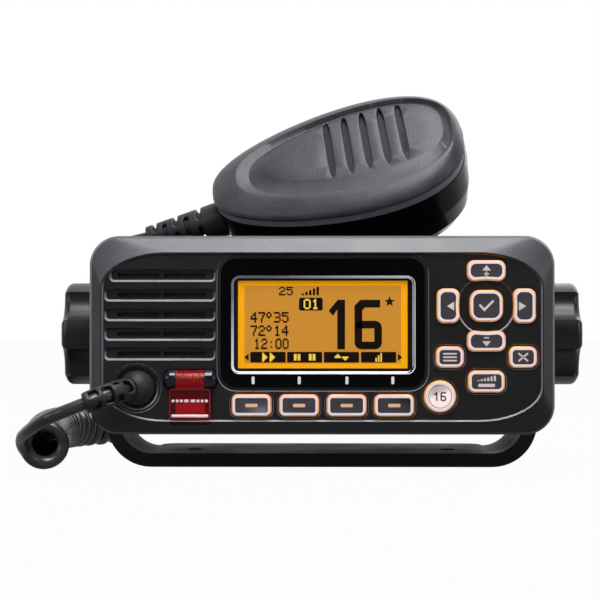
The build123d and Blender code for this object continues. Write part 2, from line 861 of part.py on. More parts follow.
with BuildPart() as distress_cover:
    with BuildSketch(front_plane(cover_back, distress_x, cover_z)):
        RectangleRounded(cover_width, cover_height, cover_corner)
    extrude(amount=cover_back - cover_front)
    with BuildSketch(front_plane(cover_back, distress_x, cover_z)):
        Rectangle(cover_width - 2 * cover_wall, cover_height - 2 * cover_wall)
    extrude(amount=cover_back - cover_front - cover_thickness, mode=Mode.SUBTRACT)
    neck_bottom = cover_z + cover_height / 2 - cover_wall
    with BuildSketch(front_plane(cover_front + cover_thickness, distress_x)):
        with Locations((0, (hinge_z + neck_bottom) / 2)):
            Rectangle(barrel_length, hinge_z - neck_bottom)
    extrude(amount=cover_thickness)
    with BuildSketch(hinge_plane):
        Circle(barrel_radius)
    extrude(amount=barrel_length / 2, both=True)
    with BuildSketch(hinge_plane):
        Circle(spring_radius + fit_gap)
    extrude(amount=barrel_length / 2 - barrel_wall, both=True, mode=Mode.SUBTRACT)
    with BuildSketch(hinge_plane):
        Circle(pin_radius + shaft_gap)
    extrude(amount=barrel_length / 2, both=True, mode=Mode.SUBTRACT)
save(distress_cover, "distress_cover")

distress_flange_front = pocket_depth + pocket_floor + fit_gap
with BuildPart() as distress_key:
    with BuildSketch(front_plane(distress_flange_front, distress_x, distress_key_z)):
        Rectangle(distress_key_width, distress_key_height)
    extrude(amount=distress_flange_front - distress_key_front)
    fillet(distress_key.edges().group_by(Axis.Y)[0], key_edge)
    flange_back = distress_flange_front + distress_flange_thickness
    with BuildSketch(front_plane(flange_back, distress_x, distress_key_z)):
        Rectangle(distress_key_width + 2 * cover_wall, distress_key_height + 2 * cover_wall)
    extrude(amount=distress_flange_thickness)
save(distress_key, "distress_key")

# ---- Chassis ----

standoff_places = [
    (side * (main_board_width / 2 - 2 * standoff_radius), depth)
    for side in (-1, 1)
    for depth in (
        main_board_front + 2 * standoff_radius,
        main_board_front + main_board_length - 2 * standoff_radius,
    )
]

with BuildPart() as chassis:
    with BuildSketch(front_plane(flange_rear)):
        RectangleRounded(flange_width, flange_height, flange_corner)
    extrude(amount=flange_thickness)
    with BuildSketch(front_plane(flange_rear)):
        RectangleRounded(chassis_width, chassis_height, chassis_corner)
    extrude(amount=flange_rear - body_depth)
    chamfer(chassis.edges().group_by(Axis.Y)[-1], cover_wall)
    for side in (-1, 1):
        with BuildSketch(side_plane(trunnion_reach, side)):
            Circle(trunnion_radius)
        extrude(amount=chassis_width / 2 - trunnion_reach - cover_wall)
    with BuildSketch(front_plane(flange_front)):
        RectangleRounded(
            chassis_width - 2 * chassis_wall,
            chassis_height - 2 * chassis_wall,
            chassis_corner - chassis_wall / 2,
        )
    extrude(amount=flange_front - rear_wall_front, mode=Mode.SUBTRACT)
    for side in (-1, 1):
        with BuildSketch(side_plane(chassis_width / 2 - cover_wall, side)):
            Circle(trunnion_inner_radius)
        extrude(amount=-trunnion_inner_length)
        with BuildSketch(side_plane(trunnion_reach, side)):
            Circle(stud_radius + shaft_gap)
        extrude(amount=-stud_grip, mode=Mode.SUBTRACT)
    # standoffs for the main board
    with BuildSketch(Plane.XY.offset(chassis_floor - cover_wall)):
        with Locations(*[(x, front_y + depth) for x, depth in standoff_places]):
            Circle(standoff_radius)
    extrude(amount=standoff_height + cover_wall)
    # screw holes in the flange
    with BuildSketch(front_plane(flange_rear)):
        with Locations(*boss_places):
            Circle(screw_radius + fit_gap)
    extrude(amount=flange_thickness, mode=Mode.SUBTRACT)
    # cooling fins on the rear, left out where the fittings sit
    fin_span = chassis_width - 2 * fin_margin
    fin_count = int(fin_span / fin_pitch)
    fin_height = chassis_height - 2 * fin_margin
    pads = [(socket_x, socket_flange / 2 + pad_margin)]
    pads += [(x, grommet_flange_radius + pad_margin) for x in grommet_x]
    for fin in range(fin_count + 1):
        groove_x = (fin - fin_count / 2) * fin_pitch
        if all(abs(groove_x - pad[0]) > pad[1] for pad in pads):
            with BuildSketch(front_plane(body_depth, groove_x)):
                Rectangle(fin_groove_width, fin_height)
            extrude(amount=fin_groove_depth, mode=Mode.SUBTRACT)
    # socket and grommet holes
    with BuildSketch(front_plane(body_depth, socket_x, socket_z)):
        Circle(contact_head_radius + 2 * fit_gap)
    extrude(amount=chassis_rear_wall, mode=Mode.SUBTRACT)
    with BuildSketch(front_plane(body_depth)):
        with Locations(*[(x, grommet_z) for x in grommet_x]):
            Circle(grommet_radius + fit_gap)
    extrude(amount=chassis_rear_wall, mode=Mode.SUBTRACT)
    # long shallow ribs along both sides
    for side in (-1, 1):
        for rib in range(rail_count):
            rib_z = axis_height + (rib - (rail_count - 1) / 2) * rail_pitch
            rib_mid = (front_y + flange_rear + rear_y) / 2 + trunnion_radius
            rib_length = rear_y - 2 * cover_wall - trunnion_radius - 2 * cover_wall
            rib_plane = Plane(
                origin=(side * chassis_width / 2, rib_mid, rib_z),
                x_dir=(0, side, 0),
                z_dir=(side, 0, 0),
            )
            with BuildSketch(rib_plane):
                SlotOverall(rib_length, rail_width)
            extrude(amount=rail_height)
save(chassis, "chassis")

with BuildPart() as antenna_socket:
    with BuildSketch(rear_plane(body_depth, socket_x, socket_z)):
        RectangleRounded(socket_flange, socket_flange, 2 * cover_wall)
    extrude(amount=socket_flange_thickness)
    with BuildSketch(rear_plane(body_depth, socket_x, socket_z)):
        Circle(socket_radius)
    extrude(amount=socket_flange_thickness + socket_length)
    with BuildSketch(rear_plane(body_depth, socket_x, socket_z)):
        Circle(socket_bore)
    extrude(amount=socket_flange_thickness + socket_length, mode=Mode.SUBTRACT)
save(antenna_socket, "antenna_socket")

with BuildPart() as antenna_contact:
    with BuildSketch(rear_plane(rear_wall_front, socket_x, socket_z)):
        Circle(contact_radius)
    extrude(amount=chassis_rear_wall + socket_flange_thickness + socket_length - 2 * cover_wall)
    with BuildSketch(rear_plane(body_depth - socket_flange_thickness, socket_x, socket_z)):
        Circle(contact_head_radius)
    extrude(amount=2 * socket_flange_thickness)
save(antenna_contact, "antenna_contact")

with BuildPart() as cable_grommets:
    for x in grommet_x:
        with BuildSketch(rear_plane(rear_wall_front, x, grommet_z)):
            Circle(grommet_radius)
        extrude(amount=chassis_rear_wall)
        with BuildSketch(rear_plane(body_depth, x, grommet_z)):
            Circle(grommet_flange_radius)
        extrude(amount=grommet_length, taper=10)
        with BuildSketch(rear_plane(rear_wall_front, x, grommet_z)):
            Circle(grommet_bore)
        extrude(amount=chassis_rear_wall + grommet_length, mode=Mode.SUBTRACT)
save(cable_grommets, "cable_grommets")

# ---- Boards inside ----

board_level = chassis_floor + standoff_height
board_middle = front_y + main_board_front + main_board_length / 2
with BuildPart() as main_board:
    with BuildSketch(Plane.XY.offset(board_level)):
        with Locations((0, board_middle)):
            Rectangle(main_board_width, main_board_length)
    extrude(amount=board_thickness)
save(main_board, "main_board")

with BuildPart() as shield_cover:
    with BuildSketch(Plane.XY.offset(board_level + board_thickness)):
        with Locations((shield_x, board_middle)):
            Rectangle(shield_width, shield_length)
    extrude(amount=shield_height)
    with BuildSketch(Plane.XY.offset(board_level + board_thickness)):
        with Locations((shield_x, board_middle)):
            Rectangle(shield_width - 2 * shield_wall, shield_length - 2 * shield_wall)
    extrude(amount=shield_height - shield_wall, mode=Mode.SUBTRACT)
save(shield_cover, "shield_cover")

module_x = chassis_width / 2 - chassis_wall - module_width / 2 - cover_wall
with BuildPart() as power_module:
    with BuildSketch(front_plane(rear_wall_front, module_x)):
        with Locations((0, board_level + board_thickness + module_height - axis_height)):
            Rectangle(module_width, module_height)
    extrude(amount=module_thickness)
save(power_module, "power_module")

# ---- Bracket, washers and knobs ----

bracket_side = Plane(origin=(0, 0, 0), x_dir=(1, 0, 0), z_dir=(0, -1, 0))
arm_over = bracket_top + 2 * bracket_outer_corner


with BuildPart() as mounting_bracket:
    with BuildSketch(bracket_side):
        with Locations((0, arm_over / 2)):
            RectangleRounded(2 * bracket_outer, arm_over, bracket_outer_corner)
        with Locations((0, arm_over / 2 + bracket_wall)):
            RectangleRounded(
                2 * bracket_inner, arm_over, bracket_inner_corner, mode=Mode.SUBTRACT
            )
        with Locations((0, bracket_top + arm_over / 2)):
            Rectangle(4 * bracket_outer, arm_over, mode=Mode.SUBTRACT)
    extrude(amount=bracket_depth / 2, both=True)
    arm_tops = mounting_bracket.edges().filter_by(Axis.X).group_by(Axis.Z)[-1]
    fillet(arm_tops, bracket_depth / 2 - bracket_edge / 2)
    # heel behind the arms, on the flat of the base
    with BuildSketch(Plane.XY):
        with Locations((0, bracket_depth / 2)):
            heel_width = 2 * (bracket_outer - bracket_outer_corner)
            RectangleRounded(heel_width, 2 * bracket_heel, bracket_heel_corner)
    extrude(amount=bracket_wall)
    # fine ribs round the inside of both bends
    for rib in range(bracket_rib_count - 1):
        rib_y = (rib - (bracket_rib_count - 2) / 2) * bracket_rib_pitch
        with BuildSketch(bracket_side.offset(-rib_y)):
            with Locations((0, arm_over / 2 + bracket_wall - bracket_rib_groove)):
                RectangleRounded(
                    2 * bracket_inner + 2 * bracket_rib_groove,
                    arm_over,
                    bracket_inner_corner + bracket_rib_groove,
                )
            bend_height = bracket_wall + bracket_inner_corner
            with Locations((0, bend_height + arm_over / 2)):
                Rectangle(4 * bracket_outer, arm_over, mode=Mode.SUBTRACT)
            with Locations((0, bend_height / 2)):
                straight = 2 * (bracket_inner - bracket_inner_corner)
                Rectangle(straight, 2 * bend_height, mode=Mode.SUBTRACT)
        extrude(amount=bracket_rib_groove, both=True, mode=Mode.SUBTRACT)
    for side in (-1, 1):
        with BuildSketch(side_plane(bracket_outer, side)):
            Circle(stud_radius + shaft_gap)
        extrude(amount=-bracket_wall, mode=Mode.SUBTRACT)
    with BuildSketch(Plane.XY):
        with GridLocations(bracket_hole_spacing, 0, 2, 1):
            Circle(bracket_hole_radius)
        Circle(bracket_dimple_radius)
    extrude(amount=bracket_wall, mode=Mode.SUBTRACT)
save(mounting_bracket, "mounting_bracket")

with BuildPart() as friction_washers:
    for side in (-1, 1):
        with BuildSketch(side_plane(trunnion_reach, side)):
            Circle(washer_radius)
            Circle(stud_radius + fit_gap, mode=Mode.SUBTRACT)
        extrude(amount=washer_thickness)
save(friction_washers, "friction_washers")


def knob_piece(side):
    hub_start = bracket_outer + knob_gap
    with BuildPart() as knob:
        with BuildSketch(side_plane(hub_start, side)):
            Circle(knob_hub_radius)
            Circle(stud_radius, mode=Mode.SUBTRACT)
        extrude(amount=knob_hub_length)
        with BuildSketch(side_plane(hub_start + knob_hub_length, side)):
            Circle(knob_radius)
            turn = 180 if side > 0 else 0  # a lobe faces the user
            with PolarLocations(flute_centre, knob_lobes, start_angle=turn + 180 / knob_lobes):
                Circle(flute_radius, mode=Mode.SUBTRACT)
        extrude(amount=knob_reach - hub_start - knob_hub_length)
        outer_rim = knob.edges().group_by(Axis.X)[-1 if side > 0 else 0]
        fillet(outer_rim, knob_edge)
        with BuildSketch(side_plane(hub_start, side)):
            Circle(stud_radius)
        extrude(amount=stud_depth, mode=Mode.SUBTRACT)
    return knob


def stud_piece(side):
    length = bracket_outer + knob_gap + stud_depth - trunnion_reach + stud_grip - cover_wall
    with BuildPart() as stud:
        with BuildSketch(side_plane(bracket_outer + knob_gap + stud_depth, side)):
            Circle(stud_radius)
        extrude(amount=-length)
        chamfer(stud.edges(), stud_radius / 5)
    return stud


for side, side_name in ((-1, "left"), (1, "right")):
    save(knob_piece(side), f"knob_{side_name}")
    save(stud_piece(side), f"knob_{side_name}_stud")

# ---- Hand microphone ----


def egg_outline(length, width, shift=0.0):
    """Egg outline, narrow at the cord end, drawn in the sketch that is open."""
    points = []
    for step in range(mic_outline_points):
        turn = 2 * pi * step / mic_outline_points
        bulge = abs(sin(turn)) ** mic_fullness
        sign = 1 if sin(turn) > 0 else -1
        x = shift + length / 2 * cos(turn)
        y = sign * width / 2 * bulge * (1 + mic_taper * cos(turn))
        points.append((x, y))
    with BuildLine() as outline:
        Spline(*points, periodic=True)
    make_face(outline.edges())


def rear_section(share, wall):
    """Length, width and shift of the rear shell at a share of its depth."""
    round_off = 1 - sqrt(1 - share**3)
    length = mic_length - (mic_length - mic_rear_length) * round_off - 2 * wall
    width = mic_width - (mic_width - mic_rear_width) * round_off - 2 * wall
    return length, width, mic_rear_shift * round_off


with BuildPart() as mic_front_shell:
    shoulder_length = mic_length + (mic_top_length - mic_length) * mic_shoulder_share
    shoulder_width = mic_width + (mic_top_width - mic_width) * mic_shoulder_share
    shoulder_shift = mic_top_shift * mic_shoulder_share
    with BuildSketch(mic_plane.offset(mic_front_low)):
        egg_outline(mic_length, mic_width)
    with BuildSketch(mic_plane.offset(mic_shoulder_height)):
        egg_outline(shoulder_length, shoulder_width, shoulder_shift)
    loft()
    with BuildSketch(mic_plane.offset(mic_shoulder_height)):
        egg_outline(shoulder_length, shoulder_width, shoulder_shift)
    with BuildSketch(mic_plane.offset(mic_front_high)):
        egg_outline(mic_top_length, mic_top_width, mic_top_shift)
    loft()
    hollow_top = mic_front_high - mic_wall
    with BuildSketch(mic_plane.offset(mic_front_low)):
        egg_outline(mic_top_length, mic_top_width, mic_top_shift)
    extrude(amount=hollow_top - mic_front_low, mode=Mode.SUBTRACT)
    with BuildSketch(mic_plane.offset(mic_front_high)):
        for slot in range(mic_slot_count):
            with Locations((mic_slot_first + slot * mic_slot_pitch, mic_slot_rise)):
                SlotOverall(mic_slot_length, mic_slot_width, rotation=90)
    extrude(amount=-mic_slot_depth, mode=Mode.SUBTRACT)
    last_slot = mic_slot_first + (mic_slot_count - 1) * mic_slot_pitch
    with BuildSketch(mic_plane.offset(mic_front_high)):
        with Locations((last_slot, mic_slot_rise)):
            SlotOverall(sound_slit_length, sound_slit_width, rotation=90)
    extrude(amount=mic_front_low - mic_front_high, mode=Mode.SUBTRACT)
save(mic_front_shell, "mic_front_shell")

with BuildPart() as mic_gasket:
    with BuildSketch(mic_plane.offset(-mic_strip_half)):
        egg_outline(mic_length - 2 * mic_strip_inset, mic_width - 2 * mic_strip_inset)
    extrude(amount=mic_strip_half + mic_front_low)
    with BuildSketch(mic_plane.offset(-mic_strip_half)):
        egg_outline(mic_length - 4 * mic_wall, mic_width - 4 * mic_wall)
    extrude(amount=mic_strip_half + mic_front_low, mode=Mode.SUBTRACT)
save(mic_gasket, "mic_gasket")

boot_axis_plane = Plane(
    origin=mic_plane.from_local_coords((0, 0, -mic_boot_offset)),
    x_dir=mic_plane.y_dir,
    z_dir=-mic_plane.x_dir,
)
ptt_plane = Plane(
    origin=mic_plane.from_local_coords((ptt_x, 0, -ptt_offset)),
    x_dir=mic_plane.x_dir,
    z_dir=mic_plane.y_dir,
)
ptt_base = mic_width / 2 - 3 * mic_wall
ptt_flange_top = mic_width / 2 - mic_wall - ptt_travel

with BuildPart() as mic_rear_shell:
    for low, high in zip(mic_rear_levels, mic_rear_levels[1:]):
        for share in (low, high):
            with BuildSketch(mic_plane.offset(-mic_strip_half - share * mic_rear_depth)):
                egg_outline(*rear_section(share, 0.0))
        loft()
    for low, high in zip(mic_hollow_levels, mic_hollow_levels[1:]):
        for share in (low, high):
            with BuildSketch(mic_plane.offset(-mic_strip_half - share * mic_rear_depth)):
                egg_outline(*rear_section(share, mic_wall))
        loft(mode=Mode.SUBTRACT)
    with BuildSketch(mic_plane.offset(-mic_strip_half - mic_post_depth)):
        with Locations(*[(x, 0) for x in mic_screw_x]):
            Circle(mic_post_radius)
    extrude(amount=mic_post_depth)
    # flat underside, clear of the case that it lies on
    with BuildSketch(Plane.XY.offset(chassis_top + soft_gap)):
        with Locations((mic_centre[0], mic_centre[1])):
            Rectangle(2 * mic_length, 2 * mic_length)
    extrude(amount=-mic_length, mode=Mode.SUBTRACT)
    # where the strain relief passes
    with BuildSketch(boot_axis_plane.offset(-mic_boot_start - mic_wall)):
        Circle(mic_boot_collar + shaft_gap)
    extrude(amount=mic_length / 2, mode=Mode.SUBTRACT)
    # where the push-to-talk button passes
    with BuildSketch(ptt_plane.offset(ptt_flange_top)):
        RectangleRounded(
            ptt_length + 2 * key_gap, ptt_height + 2 * key_gap, ptt_height / 3 + key_gap
        )
    extrude(amount=mic_width / 2, mode=Mode.SUBTRACT)
save(mic_rear_shell, "mic_rear_shell")

mic_boot = ribbed_boot(
    boot_axis_plane,
    -mic_boot_start,
    -mic_boot_collar_end,
    -mic_boot_end,
    mic_boot_collar,
    mic_boot_end_radius,
    boot_core_radius,
    mic_boot_rings,
)
save(mic_boot, "mic_cord_boot")

with BuildPart() as ptt_button:
    with BuildSketch(ptt_plane.offset(ptt_base)):
        RectangleRounded(ptt_length, ptt_height, ptt_height / 3)
    extrude(amount=mic_width / 2 + ptt_proud - ptt_base)
    outer_face = ptt_button.faces().sort_by(Axis(mic_centre, tuple(ptt_plane.z_dir)))[-1]
    fillet(outer_face.edges(), ptt_proud / 2)
save(ptt_button, "ptt_button")

with BuildPart() as mic_capsule:
    with BuildSketch(mic_plane.offset(hollow_top - fit_gap - capsule_height)):
        with Locations((last_slot, mic_slot_rise)):
            Circle(capsule_radius)
    extrude(amount=capsule_height)
save(mic_capsule, "mic_capsule")

with BuildPart() as mic_board:
    with BuildSketch(mic_plane.offset(-mic_board_offset)):
        with Locations(((mic_screw_x[0] + mic_screw_x[1]) / 2, 0)):
            between_posts = mic_screw_x[1] - mic_screw_x[0] - 2 * mic_post_radius
            Rectangle(between_posts - 2 * soft_gap, mic_board_width)
    extrude(amount=board_thickness)
save(mic_board, "mic_board")

stud_base = -mic_strip_half - mic_rear_depth
with BuildPart() as mic_hanger_stud:
    with BuildSketch(mic_plane.offset(stud_base)):
        with Locations((mic_rear_shift, 0)):
            Circle(mic_stud_neck_radius)
    extrude(amount=-mic_stud_length)
    with BuildSketch(mic_plane.offset(stud_base - mic_stud_length)):
        with Locations((mic_rear_shift, 0)):
            Circle(mic_stud_radius)
    extrude(amount=mic_stud_length / 3)
save(mic_hanger_stud, "mic_hanger_stud")

with BuildPart() as mic_screws:
    with BuildSketch(mic_plane.offset(stud_base)):
        with Locations(*[(x, 0) for x in mic_screw_x]):
            Circle(screw_head_radius)
    extrude(amount=-cover_wall)
save(mic_screws, "mic_screws")

# ---- Microphone cord ----

boot_exit = boot_path.wire() % 1
mic_boot_tip = mic_plane.from_local_coords((mic_boot_end, 0, -mic_boot_offset))
long_axis = mic_plane.x_dir

lead_points = [
    boot_tip,
    boot_tip + boot_exit * 5.6,
    Vector(-88.6, -59.3, 20.6),
    Vector(-92.9, -57.0, 18.6),
    Vector(-96.2, -53.6, 16.4),
    Vector(-98.5, -49.5, 14.3),
    Vector(-100.4, -44.8, 11.7),
    Vector(-101.6, -40.0, 9.0),
    Vector(-101.7, -35.9, 5.2),
]
tail_points = [
    Vector(-76.0, 77.6, 34.0),
    Vector(-77.2, 76.2, 42.0),
    Vector(-79.9, 73.9, 50.0),
    Vector(-83.3, 70.6, 57.4),
    Vector(-86.4, 66.0, 64.2),
    Vector(-87.4, 59.8, 70.4),
    Vector(-86.4, 53.6, 75.8),
    Vector(-83.4, 48.2, 79.4),
    Vector(-79.3, 44.3, 81.6),
    mic_boot_tip - long_axis * 7.0,
    mic_boot_tip,
]
coil_rise = (tail_points[1] - tail_points[0]).normalized()
coil_points = [
    Vector(-95.8, -32.6, coil_height),
    Vector(-98.4, -15.0, coil_height),
    Vector(-101.0, 2.0, coil_height),
    Vector(-103.5, 20.0, coil_height),
    Vector(-105.0, 38.0, coil_height),
    Vector(-103.6, 54.0, coil_height),
    Vector(-98.2, 67.0, coil_height),
    Vector(-90.5, 74.0, coil_height),
    Vector(-82.5, 77.8, 9.6),
    Vector(-76.4, 79.3, 15.6),
    tail_points[0] - coil_rise * 10.0,
    tail_points[0],
]


def bend_radii(points):
    """The largest arc at each corner that its two runs leave room for."""
    radii = []
    for before, corner, after in zip(points, points[1:], points[2:]):
        first = corner - before
        second = after - corner
        half_turn = radians(first.get_angle(second)) / 2
        radii.append(0.45 * min(first.length, second.length) / tan(half_turn))
    return radii


def cord_tube(points, radius, name):
    radii = bend_radii(points)
    print(name, "bend radii", [round(value, 1) for value in radii])
    with BuildPart() as tube:
        with BuildLine() as path:
            FilletPolyline(*points, radius=radii)
        start = Plane(origin=path.line @ 0, z_dir=path.line % 0)
        with BuildSketch(start):
            Circle(radius)
        sweep()
    length = path.wire().length
    ratio = tube.part.volume / (pi * radius**2 * length)
    print(name, "length", round(length, 1), "volume over section times length", round(ratio, 4))
    save(tube, name)


cord_tube(lead_points, wire_radius, "cord_lead")
cord_tube(coil_points, coil_radius, "cord_coil")
cord_tube(tail_points, wire_radius, "cord_tail")
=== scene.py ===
import bmesh
import bpy
from math import atan2, cos, degrees, pi, radians, sin
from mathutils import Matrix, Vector


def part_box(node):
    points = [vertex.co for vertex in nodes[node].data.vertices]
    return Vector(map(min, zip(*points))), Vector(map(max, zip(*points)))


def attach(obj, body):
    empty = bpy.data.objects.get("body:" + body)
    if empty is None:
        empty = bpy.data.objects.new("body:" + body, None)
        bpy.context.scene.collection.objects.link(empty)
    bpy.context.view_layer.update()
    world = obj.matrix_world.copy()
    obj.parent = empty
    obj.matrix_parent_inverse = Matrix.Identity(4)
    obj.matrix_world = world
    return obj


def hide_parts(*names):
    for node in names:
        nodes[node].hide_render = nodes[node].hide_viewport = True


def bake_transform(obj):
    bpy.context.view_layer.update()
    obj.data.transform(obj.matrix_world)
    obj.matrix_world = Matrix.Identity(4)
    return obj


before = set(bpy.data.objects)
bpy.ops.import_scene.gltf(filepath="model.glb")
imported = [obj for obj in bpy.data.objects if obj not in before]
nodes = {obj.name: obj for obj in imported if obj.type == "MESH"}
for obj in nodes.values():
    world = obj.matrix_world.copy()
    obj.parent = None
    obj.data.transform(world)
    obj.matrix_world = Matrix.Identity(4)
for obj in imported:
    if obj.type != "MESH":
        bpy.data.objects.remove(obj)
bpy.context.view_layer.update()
print("frame loaded,", len(nodes), "nodes")

# the set's own places, in metres: tilt axis height, panel front, display middle
axisHeight = 0.047
panelFront = -0.048
displayX = 0.0003


def panelPoint(x, depth, rise):
    # millimetres: across, behind the panel's front, above the tilt axis
    return Vector((x / 1000, panelFront + depth / 1000, axisHeight + rise / 1000))


cameraSettings = {
    "place": (-0.002, -0.585, 0.0538), "lens": 96.0, "sensor": 36.0, "turnLeft": 0.57, "turnUp": 0.54,
}
bpy.ops.object.camera_add(
    location=cameraSettings["place"],
    rotation=(radians(90 + cameraSettings["turnUp"]), 0, radians(cameraSettings["turnLeft"])),
)
camera = bpy.context.active_object
camera.data.lens = cameraSettings["lens"]
camera.data.sensor_width = cameraSettings["sensor"]
bpy.context.scene.camera = camera
bpy.context.scene.view_settings.view_transform = "Standard"

lampSettings = {
    "keyAbove": {"place": (0.03, -0.4, 0.72), "aim": (0, 0, 0.06), "size": 0.4, "power": 7.0},
    "overhead": {"place": (0.04, 0.02, 0.85), "aim": (0, 0, 0.08), "size": 0.35, "power": 3.4},
    "leftSide": {"place": (-0.8, -0.45, 0.25), "aim": (0, 0, 0.06), "size": 0.3, "power": 0.8},
    "rightSide": {"place": (0.8, -0.5, 0.3), "aim": (0, 0, 0.05), "size": 0.3, "power": 1.1},
    "userFill": {"place": (-0.6, -0.8, 0.4), "aim": (0, 0, 0.04), "size": 0.3, "power": 0.9},
    "behind": {"place": (0.35, 0.9, 0.6), "aim": (0, 0, 0.06), "size": 0.7, "power": 2.0},
}
for lampName, lamp in lampSettings.items():
    aimWay = Vector(lamp["aim"]) - Vector(lamp["place"])
    bpy.ops.object.light_add(
        type="AREA", location=lamp["place"], rotation=aimWay.to_track_quat("-Z", "Y").to_euler()
    )
    bpy.context.active_object.name = lampName
    bpy.context.active_object.data.energy = lamp["power"]
    bpy.context.active_object.data.size = lamp["size"]


def plugIn(tree, node, values):
    # by a socket's name or place: the output of another node is linked, a plain value is set
    for key, value in values.items():
        if isinstance(value, bpy.types.NodeSocket):
            tree.links.new(value, node.inputs[key])
        else:
            node.inputs[key].default_value = value


def newNode(tree, kind, values, **settings):
    node = tree.nodes.new("ShaderNode" + kind)
    for key, value in settings.items():
        setattr(node, key, value)
    plugIn(tree, node, values)
    return node.outputs


def mathNode(tree, operation, *values):
    return newNode(tree, "Math", dict(enumerate(values)), operation=operation)[0]


def spread(tree, value, low, high, start=0.3, end=0.7):
    # a value stretched so that start becomes low and end becomes high
    values = {"Value": value, "From Min": start, "From Max": end, "To Min": low, "To Max": high}
    return newNode(tree, "MapRange", values)["Result"]


def placeIn(tree, coordinate="Object"):
    return newNode(tree, "TexCoord", {})[coordinate]


def partsOf(tree, vector):
    return newNode(tree, "SeparateXYZ", {0: vector})


def facingOf(tree):
    # the parts of the direction in which the surface faces
    return partsOf(tree, newNode(tree, "NewGeometry", {})["Normal"])


roomSettings = {
    "light": 0.07, "userSide": 0.05, "skyTurn": (-0.3, 0.3), "floorSize": 6.0,
    "floorTone": (0.12, 0.12, 0.12, 1), "floorRough": 0.9, "floorWhite": 0.97,
    "floorTurn": (-0.1, 0.3),
}


def whiteToTheEye(tree, plain, whiteShare, output, coordinate, turn):
    # the camera sees white, and so do gloss and glass where they look behind the set;
    # towards the user the room is dim, and the light on the set stays plain
    rays = newNode(tree, "LightPath", {})
    place = partsOf(tree, placeIn(tree, coordinate))
    backward = spread(tree, place["Y"], roomSettings["userSide"], 1.0, *turn)
    mirrored = mathNode(tree, "MAXIMUM", rays["Is Glossy Ray"], rays["Is Transmission Ray"])
    behind = mathNode(tree, "MULTIPLY", mirrored, backward)
    seen = mathNode(tree, "MAXIMUM", rays["Is Camera Ray"], behind)
    share = mathNode(tree, "MULTIPLY", seen, whiteShare)
    white = newNode(tree, "Emission", {"Color": (1, 1, 1, 1), "Strength": 1.0})
    mix = newNode(tree, "MixShader", {"Fac": share, 1: plain, 2: white[0]})
    tree.links.new(mix[0], output)


room = bpy.data.worlds.new("room")
bpy.context.scene.world = room
room.use_nodes = True
background = room.node_tree.nodes["Background"]
plugIn(room.node_tree, background, {"Color": (1, 1, 1, 1), "Strength": roomSettings["light"]})
roomOutput = room.node_tree.nodes["World Output"].inputs["Surface"]
whiteToTheEye(
    room.node_tree, background.outputs[0], 1.0, roomOutput, "Generated", roomSettings["skyTurn"]
)


def tone(code):
    # a colour as a painter writes it, turned into the linear values that shaders take
    parts = [int(code[i:i + 2], 16) / 255 for i in (0, 2, 4)]
    linear = [part / 12.92 if part <= 0.04045 else ((part + 0.055) / 1.055) ** 2.4 for part in parts]
    return (*linear, 1.0)


def tones(codes):
    return [tone(code) for code in codes.split()]


def newFinish(name):
    material = bpy.data.materials.new(name)
    material.use_nodes = True
    return material, material.node_tree


def shade(material, values):
    tree = material.node_tree
    plugIn(tree, tree.nodes["Principled BSDF"], values)


def litFrom(colour, strength):
    return {"Base Color": colour, "Emission Color": colour, "Emission Strength": strength}


def noiseNode(tree, scale, detail=2.0):
    return newNode(tree, "TexNoise", {"Vector": placeIn(tree), "Scale": scale, "Detail": detail})["Fac"]


def mixTones(tree, share, first, second):
    return newNode(tree, "Mix", {"Factor": share, 6: first, 7: second}, data_type="RGBA")[2]


def dress(item, material):
    if item.material_slots:
        for materialSlot in item.material_slots:
            materialSlot.material = material
    else:
        item.data.materials.append(material)


bpy.ops.mesh.primitive_plane_add(size=roomSettings["floorSize"])
floor = bpy.context.active_object
floor.name = "floor"
floorFinish, floorTree = newFinish("floorFinish")
shade(floorFinish, {"Base Color": roomSettings["floorTone"], "Roughness": roomSettings["floorRough"]})
floorPlain = floorTree.nodes["Principled BSDF"].outputs[0]
floorOutput = floorTree.nodes["Material Output"].inputs["Surface"]
whiteToTheEye(
    floorTree, floorPlain, roomSettings["floorWhite"], floorOutput, "Object", roomSettings["floorTurn"]
)
dress(floor, floorFinish)
print("camera, lamps and floor set")


def surface(codes, grain, cloud, rough, bump, depth, **more):
    # grain and cloud: sizes in millimetres of the surface's grain and of its slow colour change;
    # rough: least and most roughness; bump and depth: the grain's strength, and its depth in millimetres;
    # on: the nodes that wear it
    plain = {"tones": codes, "grain": grain, "cloud": cloud, "rough": rough, "bump": bump, "depth": depth}
    return {**plain, **more}


